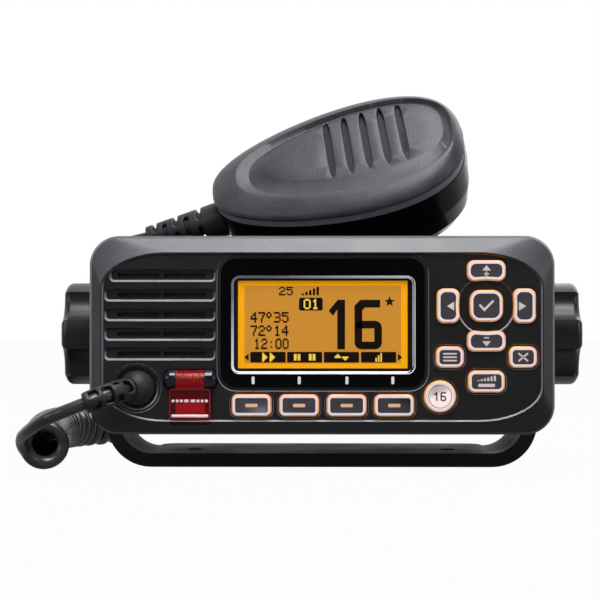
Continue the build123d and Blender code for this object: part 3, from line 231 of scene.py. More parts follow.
finishes = {
    # slope: lighter tones painted on faces that lean upwards or turn sideways, a painted sheen; side and
    # flatTop give its share on the sides and on flat tops
    "panelPlastic": surface(
        "08080a 0e0e11", 0.5, 22, (0.36, 0.46), 0.8, 0.05, slope="3a3a40 54545c", side=0.5, flatTop=0.15,
        on="front_panel",
    ),
    "castPaint": surface("141416 1b1b1e", 0.55, 30, (0.5, 0.66), 0.8, 0.05, gloss=0.3, on="chassis"),
    "bracketPlastic": surface(
        "221d26 2c2630", 0.35, 18, (0.42, 0.54), 0.6, 0.025, gloss=0.2, on="mounting_bracket"
    ),
    "knobPlastic": surface("0c0c0e 131315", 0.4, 12, (0.3, 0.38), 0.5, 0.02, on="knob_left knob_right"),
    "glossPlate": surface(
        "030304 060607", 0.8, 25, (0.12, 0.18), 0.1, 0.002, gloss=0.12, on="display_bezel"
    ),
    "micFacePlastic": surface(
        "27282d 3d3e45", 0.6, 15, (0.36, 0.46), 0.9, 0.1, gloss=0.35, on="mic_front_shell ptt_button"
    ),
    "micBackPlastic": surface(
        "060608 0b0b0e", 0.5, 20, (0.18, 0.26), 0.15, 0.006, gloss=0.12, on="mic_rear_shell"
    ),
    "micStripRubber": surface(
        "838b97 98a1ad", 0.3, 9, (0.36, 0.46), 0.5, 0.012, gloss=0.3, on="mic_gasket"
    ),
    "softRubber": surface(
        "1f1f23 2b2b30", 0.25, 6, (0.42, 0.54), 0.7, 0.018, gloss=0.3,
        on="cord_bush cord_boot mic_cord_boot cable_grommets",
    ),
    "cordRubber": surface("26262a 34343a", 0.22, 7, (0.2, 0.28), 0.4, 0.01, gloss=0.45),
    "sealRubber": surface("101011 18181a", 0.3, 8, (0.6, 0.75), 0.5, 0.012, gloss=0.2, on="panel_gasket"),
    "hingeEnamel": surface("0a0f18 111a27", 0.3, 3, (0.1, 0.18), 0.1, 0.002, on="distress_hinge_pin"),
    "steel": surface(
        "8d8d8f a9a9ab", 0.12, 4, (0.22, 0.36), 0.4, 0.006, metal=1.0,
        on="case_screws distress_spring knob_left_stud knob_right_stud mic_screws mic_hanger_stud",
    ),
    "nickel": surface("b9b5a8 cdc9be", 0.15, 5, (0.16, 0.28), 0.3, 0.004, metal=1.0, on="antenna_socket"),
    "brass": surface(
        "b8923c d0a94e", 0.15, 4, (0.2, 0.3), 0.3, 0.004, metal=1.0, on="antenna_contact dome_switches"
    ),
    "tinnedSteel": surface(
        "9c9da0 b4b5b8", 0.4, 9, (0.28, 0.42), 0.3, 0.006, metal=1.0, on="shield_cover speaker_frame"
    ),
    "boardLaminate": surface(
        "17452b 1f5a37", 0.9, 7, (0.32, 0.45), 0.5, 0.02, on="front_board main_board mic_board"
    ),
    "moduleCeramic": surface("2b2b2e 37373b", 0.6, 8, (0.45, 0.6), 0.4, 0.01, on="power_module"),
    "silicone": surface("b9b6b2 c9c6c1", 0.4, 10, (0.5, 0.62), 0.4, 0.01, on="key_sheet"),
    "lightGuide": surface("d9d2c0 e6dfce", 0.7, 12, (0.2, 0.3), 0.2, 0.005, on="backlight"),
    "conePaper": surface("2a2724 38332e", 0.5, 5, (0.7, 0.85), 0.8, 0.03, on="speaker_cone"),
    "netFabric": surface("0d0d0e 1c1c1e", 0.45, 3, (0.7, 0.85), 1.0, 0.06, on="speaker_net"),
    "capsuleCan": surface("8f8f92 a3a3a6", 0.2, 3, (0.3, 0.42), 0.3, 0.004, metal=1.0, on="mic_capsule"),
    "washerFibre": surface("2c2a28 3a3734", 0.3, 5, (0.6, 0.75), 0.7, 0.02, on="friction_washers"),
    "clearRedEdge": surface("7c101c b02432", 0.3, 3, (0.06, 0.12), 0.1, 0.002),
    "paintedHighlightPink": surface("f2c4c8 fbdfe2", 0.3, 4, (0.1, 0.16), 0.1, 0.002),
    # a lighter copy of the panel's plastic for its edges: a painted highlight along the lips and chamfers
    "edgeHighlightPlastic": surface(
        "222226 2e2e33", 0.4, 14, (0.26, 0.36), 0.4, 0.02, slope="84848c 9c9ca6", side=0.55, gloss=0.6
    ),
    "paintedSlotShade": surface("0c0d10 14151a", 0.5, 9, (0.4, 0.5), 0.5, 0.02, gloss=0.2),
    "keyFacePlastic": surface("3d393f 474349", 0.25, 5, (0.4, 0.5), 0.4, 0.008, gloss=0.2),
    "paleInk": surface("dcc8c6 ead8d6", 0.2, 4, (0.4, 0.5), 0.2, 0.003),
    # a painted glow lifts the round key's pale face out of shade
    "roundKeyPaintedGlow": surface("e4d0cd eedcd9", 0.2, 4, (0.4, 0.5), 0.2, 0.003, glow=0.4),
    "peachInk": surface("e6b79d f3c8ad", 0.2, 4, (0.4, 0.5), 0.2, 0.003),
    "darkInk": surface("2b2728 363132", 0.2, 4, (0.45, 0.55), 0.2, 0.003),
    "whiteInk": surface("dfe0e4 eeeff2", 0.2, 6, (0.4, 0.5), 0.2, 0.003),
    "figureInk": surface("120b05 1c1209", 0.4, 5, (0.5, 0.6), 0.1, 0.002, gloss=0.1),
    "figureLight": surface("f0c93c f6d656", 0.4, 5, (0.5, 0.6), 0.1, 0.002, glow=0.35),
    "redKeyPlastic": surface("a80812 c00f12", 0.3, 5, (0.3, 0.4), 0.3, 0.008, on="distress_key"),
}


# where each share of a finish begins to change and where it stops: the mix of its two tones,
# then the painted sheen, by the parts of the surface's direction
finishSpans = {
    "mix": (0.35, 0.65), "upwardSheen": (0.03, 0.3), "flat": (0.72, 0.86), "sidewaysSheen": (-0.88, -0.97),
    "level": (-0.3, -0.05),
}


def plainFinish(name, look):
    # two close tones in slow clouds and fine grain, uneven gloss, and the grain as a bump
    material, tree = newFinish(name)
    grain = noiseNode(tree, 1000 / look["grain"], 3.0)
    cloud = noiseNode(tree, 1000 / look["cloud"])
    both = mathNode(tree, "MULTIPLY_ADD", grain, 0.5, mathNode(tree, "MULTIPLY", cloud, 0.5))
    share = spread(tree, both, 0.0, 1.0, *finishSpans["mix"])
    low, high = tones(look["tones"])
    colour = mixTones(tree, share, low, high)
    if "slope" in look:
        # painted sheen: lighter where the surface leans upwards, and by its share on the sides, as if lit
        # from above
        facing = facingOf(tree)
        upwardSheen = spread(tree, facing["Z"], 0.0, 1.0, *finishSpans["upwardSheen"])
        flat = spread(tree, facing["Z"], 1.0, look.get("flatTop", 1.0), *finishSpans["flat"])
        sidewaysSheen = spread(tree, facing["Y"], look["side"], 0.0, *finishSpans["sidewaysSheen"])
        level = spread(tree, facing["Z"], 0.0, 1.0, *finishSpans["level"])
        upwardSheen = mathNode(tree, "MULTIPLY", upwardSheen, flat)
        sheenShare = mathNode(tree, "MAXIMUM", upwardSheen, mathNode(tree, "MULTIPLY", sidewaysSheen, level))
        colour = mixTones(tree, sheenShare, colour, mixTones(tree, share, *tones(look["slope"])))
    bump = newNode(tree, "Bump", {
        "Strength": look["bump"], "Distance": look["depth"] / 1000, "Height": grain,
    })
    shade(material, {
        "Base Color": colour,
        "Roughness": spread(tree, cloud, *look["rough"]),
        "Normal": bump["Normal"],
        "Metallic": look.get("metal", 0.0),
        "Specular IOR Level": look.get("gloss", 0.5),
    })
    if "glow" in look:
        shade(material, {"Emission Color": high, "Emission Strength": look["glow"]})
    return material


made = {}
for name, look in finishes.items():
    made[name] = plainFinish(name, look)
    for owner in look.get("on", "").split():
        dress(nodes[owner], made[name])
print(len(made), "plain finishes made")

# clear window: thin clear plastic with a faint smear in its gloss
windowSettings = {"tint": "0c0e10", "clear": 0.06, "smear": 90, "rough": (0.03, 0.09)}
windowFinish, windowTree = newFinish("windowAcrylic")
windowSmear = noiseNode(windowTree, windowSettings["smear"], 3.0)
shade(windowFinish, {
    "Base Color": tone(windowSettings["tint"]),
    "Alpha": windowSettings["clear"],
    "Roughness": spread(windowTree, windowSmear, *windowSettings["rough"]),
})
dress(nodes["display_window"], windowFinish)

# amber display: a lit field with a brighter edge all round
displaySettings = {
    "field": "d08f34 c98930", "edge": "fdac0a", "middle": (displayX, axisHeight + 0.0036),
    "half": (0.0263, 0.0130), "fade": (-0.0001, 0.0003), "dot": 0.42, "glow": 0.35, "rough": 0.5,
    "gloss": 0.1,
}
displayFinish, displayTree = newFinish("amberDisplay")
displayPlace = partsOf(displayTree, placeIn(displayTree))
pastEdges = []
for axisName, middle, half in zip("XZ", displaySettings["middle"], displaySettings["half"]):
    offset = mathNode(displayTree, "SUBTRACT", displayPlace[axisName], middle)
    away = mathNode(displayTree, "ABSOLUTE", offset)
    pastEdges.append(mathNode(displayTree, "SUBTRACT", away, half))
outermost = mathNode(displayTree, "MAXIMUM", *pastEdges)
edgeShare = spread(displayTree, outermost, 0.0, 1.0, *displaySettings["fade"])
dotNoise = noiseNode(displayTree, 1000 / displaySettings["dot"], 1.0)
fieldTone = mixTones(displayTree, dotNoise, *tones(displaySettings["field"]))
displayTone = mixTones(displayTree, edgeShare, fieldTone, tone(displaySettings["edge"]))
shade(displayFinish, {
    **litFrom(displayTone, displaySettings["glow"]),
    "Roughness": displaySettings["rough"],
    "Specular IOR Level": displaySettings["gloss"],
})
dress(nodes["lcd_module"], displayFinish)

# keys: translucent pale plastic, lit amber from inside where its edges turn away
keySettings = {
    "turned": (-0.66, -0.97),
    "pale": "e6d9dc d8c9cd", "edge": "ee8a44 f8b81c", "hotSpots": 160, "hot": (0.42, 0.62),
    "cloud": 420, "rough": (0.3, 0.42), "glow": 0.25, "depths": (0.0012, 0.0007, 0.0004),
    "depthShare": 0.2,
}
keyFinish, keyTree = newFinish("keyRimPlastic")
# 0 where the surface faces the user, 1 where it turns to a side
keyTurned = spread(keyTree, facingOf(keyTree)["Y"], 1.0, 0.0, *keySettings["turned"])
keyHot = spread(keyTree, noiseNode(keyTree, keySettings["hotSpots"], 1.0), 0.0, 1.0, *keySettings["hot"])
keyEdge = mixTones(keyTree, keyHot, *tones(keySettings["edge"]))
keyCloud = noiseNode(keyTree, keySettings["cloud"])
keyPale = mixTones(keyTree, keyCloud, *tones(keySettings["pale"]))
keyTone = mixTones(keyTree, keyTurned, keyPale, keyEdge)
shade(keyFinish, {
    **litFrom(keyTone, keySettings["glow"]),
    "Roughness": spread(keyTree, keyCloud, *keySettings["rough"]),
    "Subsurface Weight": keySettings["depthShare"],
    "Subsurface Radius": keySettings["depths"],
    "Subsurface Scale": 1.0,
})
for name in nodes:
    if name.startswith("soft_key_") or name.endswith("_key") and name != "distress_key":
        dress(nodes[name], keyFinish)

# distress cover: clear red, with more body in its barrel
coverSettings = {
    "tones": "c00d1e 8e0814", "cloud": 220, "body": (0.1, 0.4), "barrelFoot": axisHeight - 0.0180,
    "fade": 0.0004, "rough": (0.05, 0.12), "gloss": 0.3,
}
coverFinish, coverTree = newFinish("redClear")
coverCloud = noiseNode(coverTree, coverSettings["cloud"])
barrelFoot = coverSettings["barrelFoot"]
coverRise = partsOf(coverTree, placeIn(coverTree))["Z"]
coverBody = spread(
    coverTree, coverRise, *coverSettings["body"], barrelFoot, barrelFoot + coverSettings["fade"]
)
shade(coverFinish, {
    "Base Color": mixTones(coverTree, coverCloud, *tones(coverSettings["tones"])),
    "Alpha": coverBody,
    "Roughness": spread(coverTree, coverCloud, *coverSettings["rough"]),
    "Specular IOR Level": coverSettings["gloss"],
})
dress(nodes["distress_cover"], coverFinish)
print("display, keys and distress cover finished")


def selectAll():
    bpy.ops.mesh.select_all(action="SELECT")


def leaveEdit():
    bpy.ops.object.mode_set(mode="OBJECT")


def extrude(push):
    bpy.ops.mesh.extrude_region_move(TRANSFORM_OT_translate={"value": push})


def startPiece(name):
    piece = bpy.data.objects.new(name, bpy.data.meshes.new(name))
    bpy.context.scene.collection.objects.link(piece)
    workOn(piece)
    return piece


def choose(piece):
    bpy.ops.object.select_all(action="DESELECT")
    piece.select_set(True)
    bpy.context.view_layer.objects.active = piece


def workOn(piece):
    # in edit mode with nothing selected, faces to be picked
    if bpy.context.object and bpy.context.object.mode == "EDIT":
        leaveEdit()
    choose(piece)
    bpy.ops.object.mode_set(mode="EDIT")
    bpy.ops.mesh.select_mode(type="FACE")
    bpy.ops.mesh.select_all(action="DESELECT")


def pickFaces(piece, wanted):
    workOn(piece)
    leaveEdit()
    for face in piece.data.polygons:
        face.select = wanted(face)
    bpy.ops.object.mode_set(mode="EDIT")


def mergeDoubles(piece):
    workOn(piece)
    selectAll()
    bpy.ops.mesh.remove_doubles(threshold=0.000001)


def copyOfNode(name, node):
    # a CAD node's mesh with its loose triangles merged, ready to be cut up
    copy = nodes[node].copy()
    copy.data = nodes[node].data.copy()
    copy.name = name
    bpy.context.scene.collection.objects.link(copy)
    copy.parent = None
    mergeDoubles(copy)
    return copy


def addModifier(piece, kind, **values):
    if bpy.context.object.mode == "EDIT":
        leaveEdit()
    bpy.context.view_layer.objects.active = piece
    modifier = piece.modifiers.new(kind.title(), kind)
    for key, value in values.items():
        setattr(modifier, key, value)
    bpy.ops.object.modifier_apply(modifier=modifier.name)


def faceOutwards(piece):
    workOn(piece)
    selectAll()
    bpy.ops.mesh.normals_make_consistent(inside=False)
    leaveEdit()


def finishPiece(piece, finish, body, replaced=(), sharpAngle=32.0):
    # doubles merged, faces outwards, one finish, and a body to ride on
    mergeDoubles(piece)
    faceOutwards(piece)
    bpy.ops.object.shade_smooth_by_angle(angle=radians(sharpAngle))
    piece.data.materials.clear()
    piece.data.materials.append(made[finish])
    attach(piece, body)
    if replaced:
        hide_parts(*replaced)


def turned(points, x, rise, turn):
    # points turned by degrees round their middle, which is set down at a place
    lean = radians(turn)
    return [(x + a * cos(lean) - b * sin(lean), rise + a * sin(lean) + b * cos(lean)) for a, b in points]


def roundedBar(x, rise, width, height, corner=0.0, turn=0.0, steps=4, cornerRise=None):
    # a corner is as high as it is wide, unless cornerRise says otherwise
    if cornerRise is None:
        cornerRise = corner
    points = []
    for signX, signZ, start in ((1, 1, 0), (-1, 1, 90), (-1, -1, 180), (1, -1, 270)):
        for step in range(steps + 1 if corner else 1):
            angle = radians(start + 90 * step / steps)
            alongX = signX * (width / 2 - corner) + corner * cos(angle)
            alongZ = signZ * (height / 2 - cornerRise) + cornerRise * sin(angle)
            points.append((alongX, alongZ))
    return turned(points, x, rise, turn)


def risingBars(count, left, foot, pitch, width, rise):
    # bars on one line, each one step taller than the last
    steps = range(1, count + 1)
    return [roundedBar(left + pitch * (i - 1), foot + rise / 2 * i, width, rise * i) for i in steps]


def disc(x, rise, radius, sides):
    angles = [2 * pi * i / sides for i in range(sides)]
    return [(x + radius * cos(angle), rise + radius * sin(angle)) for angle in angles]


def arrow(x, rise, wide, tall, heading):
    # a triangle pointing along heading, in degrees from the right
    return turned([(tall / 2, 0), (-tall / 2, wide / 2), (-tall / 2, -wide / 2)], x, rise, heading)


def star(x, rise, radius, points=5, dent=0.4):
    outline = []
    for i in range(2 * points):
        reach = radius if i % 2 == 0 else radius * dent
        angle = pi / 2 + pi * i / points
        outline.append((x + reach * cos(angle), rise + reach * sin(angle)))
    return outline


def onPanel(depth):
    return lambda x, rise: panelPoint(x, depth, rise)


def addOutline(outline, place, ringLine=None, fall=0.0):
    # a filled circle whose corners are moved to the outline's points; a ring is left of it
    # when a line width is given, its inner edge set back by the fall
    bpy.ops.mesh.select_all(action="DESELECT")
    bpy.ops.mesh.primitive_circle_add(vertices=len(outline), radius=0.001, fill_type="NGON")
    edited = bmesh.from_edit_mesh(bpy.context.edit_object.data)
    corners = [corner for corner in edited.verts if corner.select]
    for corner, (x, rise) in zip(corners, outline):
        corner.co = place(x, rise)
    edited.normal_update()
    bmesh.update_edit_mesh(bpy.context.edit_object.data)
    if ringLine:
        bpy.ops.mesh.inset(thickness=ringLine / 1000, depth=-fall / 1000)
        bpy.ops.mesh.delete(type="FACE")


def raisedPiece(name, outlines, place, push, rings=()):
    # filled outlines, and rings given with the width of their line, pushed out into solids
    piece = startPiece(name)
    for outline in outlines:
        addOutline(outline, place)
    for outline, line in rings:
        addOutline(outline, place, line)
    selectAll()
    extrude(push)
    return piece


def flatPiece(name, outlines, depth, thickness, finish, body, rings=()):
    # outlines in millimetres on the panel, given a little thickness
    piece = raisedPiece(name, outlines, onPanel(depth), (0, -thickness / 1000, 0), rings)
    finishPiece(piece, finish, body)


# trim round the window: a thin silver ring on the opening's chamfer, with a painted highlight that makes it
# brighter towards its foot, and a faint painted glow
trimSettings = {
    "bar": (0.45, 3.5, 61.7, 32.9, 2.7), "line": 0.8, "front": 0.0, "fall": 0.42, "wall": 0.0001,
    "tones": "6d6978 f4f4f8", "paintedLightFrom": 28, "fade": (-0.012, 0.02), "glow": 0.25, "smear": 300,
    "rough": (0.18, 0.3),
}
trimFinish, trimTree = newFinish("windowEdgeHighlight")
trimTurned = newNode(trimTree, "Mapping", {
    "Vector": placeIn(trimTree),
    "Location": (0, 0, -axisHeight),
    "Rotation": (0, radians(trimSettings["paintedLightFrom"]), 0),
})
trimRise = partsOf(trimTree, trimTurned[0])["Z"]
# painted highlight: the ring's tone rises from dim to bright towards its foot
trimHighlight = spread(trimTree, trimRise, 1.0, 0.0, *trimSettings["fade"])
trimTone = mixTones(trimTree, trimHighlight, *tones(trimSettings["tones"]))
trimSmear = noiseNode(trimTree, trimSettings["smear"])
shade(trimFinish, {
    **litFrom(trimTone, trimSettings["glow"]),
    "Roughness": spread(trimTree, trimSmear, *trimSettings["rough"]),
})
made["windowEdgeHighlight"] = trimFinish
windowTrim = startPiece("window_trim")
trimOutline = roundedBar(*trimSettings["bar"], steps=8)
addOutline(trimOutline, onPanel(trimSettings["front"]), trimSettings["line"], trimSettings["fall"])
addModifier(windowTrim, "SOLIDIFY", thickness=trimSettings["wall"], offset=-1.0)
finishPiece(windowTrim, "windowEdgeHighlight", "radio")

# rows of dots from the top down, five to a row
dotFigures = {
    "0": "01110 10001 10001 10001 10001 10001 01110",
    "1": "00100 01100 00100 00100 00100 00100 01110",
    "2": "01110 10001 00001 00110 01000 10000 11111",
    "3": "11110 00001 00001 01110 00001 00001 11110",
    "4": "00010 00110 01010 10010 11111 00010 00010",
    "5": "11111 10000 11110 00001 00001 10001 01110",
    "7": "11111 00001 00010 00010 00100 00100 00100",
    ":": "00000 00000 00100 00000 00000 00100 00000",
    "o": "01100 10010 10010 01100 00000 00000 00000",
    " ": "",
    ">": "01000 01100 01110 01111 01110 01100 01000",
    "=": "00000 11011 11011 11011 11011 11011 00000",
    "^": "00000 00100 01110 11111 00000 00000 00000",
    "v": "00000 00000 00000 11111 01110 00100 00000",
    "|": "00001 00001 00101 00101 10101 10101 10101",
}


def dotRow(text, left, top, across, down, share=1.22):
    # each lit dot is a small square
    outlines = []
    for place, figure in enumerate(text):
        for row, dots in enumerate(dotFigures[figure].split()):
            for column, dot in enumerate(dots):
                if dot == "1":
                    x = left + across * (place * 6 + column + 0.5)
                    rise = top - down * (row + 0.5)
                    outlines.append(roundedBar(x, rise, across * share, down * share))
    return outlines


figureSettings = {
    "depth": 1.72,
    "lightDepth": 1.68,
    "thickness": 0.03,
    # rows of figures: text, left edge, top, and the pitch of the dots across and down
    "topRow": ("25", -14.4, 16.3, 0.42, 0.4),
    "rows": (
        ("47o35", -24.0, 7.8, 0.44, 0.5), ("72o14", -24.0, 3.3, 0.44, 0.5), ("12:00", -22.8, -1.1, 0.4, 0.5),
    ),
    "litRow": ("01", -6.1, 12.2, 0.46, 0.48),
    # five bars: left edge, foot, pitch, width, and how much each is taller than the last
    "strength": (-6.4, 13.5, 1.25, 0.8, 0.56),
    # the large figures: left, right, top, foot or top of the bowl, stroke
    "bigOne": (2.3, 7.8, 11.95, -4.7, 2.6),
    "bigSixStem": (11.0, 19.6, 11.95, 4.9, 2.6),
    "bigSixBowl": (15.6, 0.1, 9.2, 9.6, 2.3),
    "bowlLine": 2.55,
    "star": (22.8, 11.3, 1.9),
    "tag": (-3.7, 10.5, 8.0, 4.3, 0.7),
    # soft labels: left, right and text of each, with an arrow at either end of the row
    "labels": ((-24.1, -12.2, ">>"), (-11.7, 0.1, "= ="), (0.7, 12.5, "^v"), (13.2, 25.0, "|")),
    "labelTop": -5.6,
    "labelHeight": 3.56,
    "labelCorner": 0.25,
    "labelPitch": 0.42,
    "labelInset": 0.32,
    "endArrows": ((-25.4, -7.4, 2.4, 1.5, 180), (26.3, -7.4, 2.4, 1.5, 0)),
    # ticks on the plate under the window
    "tickColumns": (-23.1, -7.6, 8.4, 23.8),
    "tick": (-15.1, 1.0, 2.6, 0.35),
    "tickDepth": 0.08,
    "tickThickness": 0.05,
}


def bigOne(left, right, top, bottom, stroke):
    # upright with a slanting flag
    flag = top - 0.62 * (right - left)
    return [
        (right, bottom), (right, top), (right - stroke * 0.95, top), (left, flag - stroke * 0.1),
        (left + stroke * 0.55, flag - stroke * 0.75), (right - stroke, flag + stroke * 0.05),
        (right - stroke, bottom),
    ]


def bigSixStem(left, right, top, bowlTop, stroke):
    # the upright and the top bar, with cut corners
    return [
        (left, bowlTop - stroke), (left, top - stroke * 0.75), (left + stroke * 0.75, top), (right, top),
        (right, top - stroke), (left + stroke * 1.35, top - stroke), (left + stroke, top - stroke * 1.35),
        (left + stroke, bowlTop - stroke),
    ]


labelTop, labelHeight = figureSettings["labelTop"], figureSettings["labelHeight"]
labelPitch = figureSettings["labelPitch"]
figures = dotRow(*figureSettings["topRow"]) + risingBars(5, *figureSettings["strength"])
for figureRow in figureSettings["rows"]:
    figures += dotRow(*figureRow)
figures.append(bigOne(*figureSettings["bigOne"]))
figures.append(bigSixStem(*figureSettings["bigSixStem"]))
figures.append(star(*figureSettings["star"]))
figures.append(roundedBar(*figureSettings["tag"]))
lights = dotRow(*figureSettings["litRow"])
for left, right, label in figureSettings["labels"]:
    middle = (left + right) / 2, labelTop - labelHeight / 2
    figures.append(roundedBar(*middle, right - left, labelHeight, figureSettings["labelCorner"]))
    labelWidth = labelPitch * (6 * len(label) - 1)
    labelStart = (left + right - labelWidth) / 2
    lights += dotRow(label, labelStart, labelTop - figureSettings["labelInset"], labelPitch, labelPitch)
figures += [arrow(*endArrow) for endArrow in figureSettings["endArrows"]]
flatPiece(
    "display_figures", figures, figureSettings["depth"], figureSettings["thickness"], "figureInk",
    "radio", rings=[(roundedBar(*figureSettings["bigSixBowl"]), figureSettings["bowlLine"])],
)
flatPiece(
    "display_lights", lights, figureSettings["lightDepth"], figureSettings["thickness"], "figureLight",
    "radio",
)
plateTicks = [roundedBar(x, *figureSettings["tick"]) for x in figureSettings["tickColumns"]]
flatPiece(
    "plate_ticks", plateTicks, figureSettings["tickDepth"], figureSettings["tickThickness"], "whiteInk",
    "radio",
)
print("display figures made")

# keys: the dark face inside each pale rim, and its mark
keyPlaces = {
    "front": -0.6, "faceDrop": 0.12, "faceThickness": 0.05, "markThickness": 0.04,
    "pad": (55.15, 9.9), "padPitch": (12.3, 11.4), "menuX": 42.9, "clearX": 67.4, "sideRise": -7.3,
    "volumeRise": -15.5, "softRise": -23.5, "softFirst": -23.6, "softPitch": 15.95,
    "round": (39.6, -20.5), "towards": -0.9,
    "tolerance": 0.00003,  # metres
}
padX, padZ = keyPlaces["pad"]
roundX, roundZ = keyPlaces["round"]
menuX, clearX, sideRise = keyPlaces["menuX"], keyPlaces["clearX"], keyPlaces["sideRise"]
leftColumn, rightColumn = padX - keyPlaces["padPitch"][0], padX + keyPlaces["padPitch"][0]
upperRow, lowerRow = padZ + keyPlaces["padPitch"][1], padZ - keyPlaces["padPitch"][1]
softColumns = [keyPlaces["softFirst"] + keyPlaces["softPitch"] * i for i in range(4)]
wedge = risingBars(6, padX - 2.75, -15.3, 1.1, 0.7, 0.3)
keyMarks = {
    "channel_up_key": [
        arrow(padX, upperRow + 1.35, 2.9, 1.8, 90), roundedBar(padX, upperRow - 0.7, 1.7, 0.45, 0.15),
        roundedBar(padX, upperRow - 0.7, 0.45, 1.7, 0.15),
    ],
    "channel_down_key": [
        arrow(padX, lowerRow - 1.35, 2.9, 1.8, 270), roundedBar(padX, lowerRow + 0.7, 1.7, 0.45, 0.15),
    ],
    "left_key": [arrow(leftColumn + 0.25, padZ - 0.1, 3.0, 2.4, 180)],
    "right_key": [arrow(rightColumn - 0.25, padZ - 0.1, 3.0, 2.4, 0)],
    "enter_key": [[
        (padX - 2.6, padZ + 0.1), (padX - 2.1, padZ + 0.65), (padX - 0.75, padZ - 0.75),
        (padX + 2.1, padZ + 2.0), (padX + 2.6, padZ + 1.45), (padX - 0.75, padZ - 1.9),
    ]],
    "menu_key": [roundedBar(menuX, sideRise + 1.15 * step, 4.6, 0.55, 0.2) for step in (-1, 0, 1)],
    "clear_key": [roundedBar(clearX, sideRise, 4.2, 0.6, 0.2, turn) for turn in (40, -40)],
    "volume_power_key": wedge + [roundedBar(padX, -16.75, 5.6, 1.1, 0.35)],
}
for number, column in enumerate(softColumns, start=1):
    keyMarks[f"soft_key_{number}"] = [roundedBar(column, keyPlaces["softRise"], 4.1, 1.15, 0.35)]


def makeKeyFace(key):
    # the key's own flat inner face, lifted off and given a little thickness
    face = copyOfNode(f"{key}_face", key)
    level = panelFront + (keyPlaces["front"] + keyPlaces["faceDrop"]) / 1000
    towards, tolerance = keyPlaces["towards"], keyPlaces["tolerance"]
    pickFaces(face, lambda side: side.normal.y < towards and abs(side.center.y - level) < tolerance)
    bpy.ops.mesh.select_all(action="INVERT")
    bpy.ops.mesh.delete(type="FACE")
    selectAll()
    bpy.ops.mesh.dissolve_limited(angle_limit=radians(1))
    selectAll()
    extrude((0, -keyPlaces["faceThickness"] / 1000, 0))
    return face


markDepth = keyPlaces["front"] + keyPlaces["faceDrop"] - keyPlaces["faceThickness"]
for key, marks in keyMarks.items():
    finishPiece(makeKeyFace(key), "keyFacePlastic", key)
    ink = "peachInk" if key.startswith("soft_key_") else "paleInk"
    flatPiece(f"{key}_mark", marks, markDepth, keyPlaces["markThickness"], ink, key)
# painted light: the round key's face glows a little so that it stays pale where it lies in shade
roundFace = makeKeyFace("channel_16_key")
finishPiece(roundFace, "roundKeyPaintedGlow", "channel_16_key")
figureTop, figureFoot, figureLine = roundZ + 1.5, roundZ - 1.5, 0.46
roundFigures = [
    bigOne(roundX - 2.2, roundX - 0.9, figureTop, figureFoot, figureLine),
    bigSixStem(roundX + 0.1, roundX + 2.0, figureTop, roundZ + 0.3, figureLine),
]
roundBowl = roundedBar(roundX + 1.05, roundZ - 0.6, 1.9, 1.8, 0.6)
flatPiece(
    "channel_16_key_mark", roundFigures, markDepth, keyPlaces["markThickness"], "darkInk",
    "channel_16_key", rings=[(disc(roundX, roundZ, 3.95, 48), 0.2), (roundBowl, figureLine)],
)
print("key faces made")

# edges of the panel: narrow sloped strips round each recess, real lips and chamfers coloured lighter than the
# panel as a painted highlight, and lighter still where they face up;
# each strip has an outline, its own width, the depth of its outer edge, and how far it falls
bushPlace = (-62.3, -17.8)
edgeSettings = [
    (roundedBar(0, -0.7, 148.1, 56.5, 21.65, steps=10, cornerRise=11.65), 0.5, 0.02, 0.57),
    (disc(*bushPlace, 7.4, 64), 0.55, 0.62, 0.7),
    (disc(*bushPlace, 8.3, 64), 0.22, 0.56, 0.2),
    (disc(padX, padZ, 9.8, 64), 0.5, 0.56, 0.36),
    (roundedBar(0.3, 4.2, 71.3, 46.1, 6.5, steps=8), 0.24, 0.56, 0.24),
]
grooves = {"x": -54.5, "first": 20.2, "pitch": 6.6, "width": 37.5, "height": 4.5, "corner": 1.65, "late": 1.7}
for row in range(5):
    late = 0.0 if row else grooves["late"]
    middle = grooves["x"] + late / 2, grooves["first"] - grooves["pitch"] * row
    groove = roundedBar(*middle, grooves["width"] - late, grooves["height"], grooves["corner"], steps=6)
    edgeSettings.append((groove, 0.7, 0.64, 1.0))
keySteps = [roundedBar(column, keyPlaces["softRise"], 14.8, 8.8, 2.75) for column in softColumns]
keySteps += [roundedBar(x, sideRise, 10.9, 8.6, 3.15) for x in (menuX, clearX)]
keySteps += [roundedBar(padX, keyPlaces["volumeRise"], 13.8, 8.8, 3.15), disc(roundX, roundZ, 6.1, 48)]
edgeSettings += [(step, 0.16, 0.58, 0.16) for step in keySteps]
panelEdges = startPiece("panel_edges")
for outline, width, depth, fall in edgeSettings:
    addOutline(outline, onPanel(depth), width, fall)
addModifier(panelEdges, "SOLIDIFY", thickness=0.00004, offset=-1.0)
finishPiece(panelEdges, "edgeHighlightPlastic", "radio", sharpAngle=28)
print("panel edges made")

# distress cover: marks, thumb bar, and the spring round its hinge pin
coverPlaces = {
    "x": -44.2, "front": -2.2, "sunk": 0.01, "hingeRise": -14.7, "hingeDepth": 0.8,
    "signalRise": -21.9, "dots": (-5.6, -4.2, -2.8, 2.8, 4.2, 5.6), "dashes": (-1.1, 1.1),
    "edge": (-23.25, 13.7, 10.6, 1.0), "thumbBar": (-27.0, 12.4, 1.1, 0.3),
    "thumbPush": (0, -0.0006, -0.0002),  # metres
    "thumbTaper": (0.97, 1, 0.5), "thumbMiddle": (-2.8, -26.9),
}
coverX, signalRise = coverPlaces["x"], coverPlaces["signalRise"]
coverFront = coverPlaces["front"] - coverPlaces["sunk"]
signal = [disc(coverX + offset, signalRise, 0.5, 16) for offset in coverPlaces["dots"]]
signal += [roundedBar(coverX + offset, signalRise, 1.5, 0.9, 0.3) for offset in coverPlaces["dashes"]]
flatPiece("cover_marks", signal, coverFront, 0.05, "whiteInk", "distress_cover")
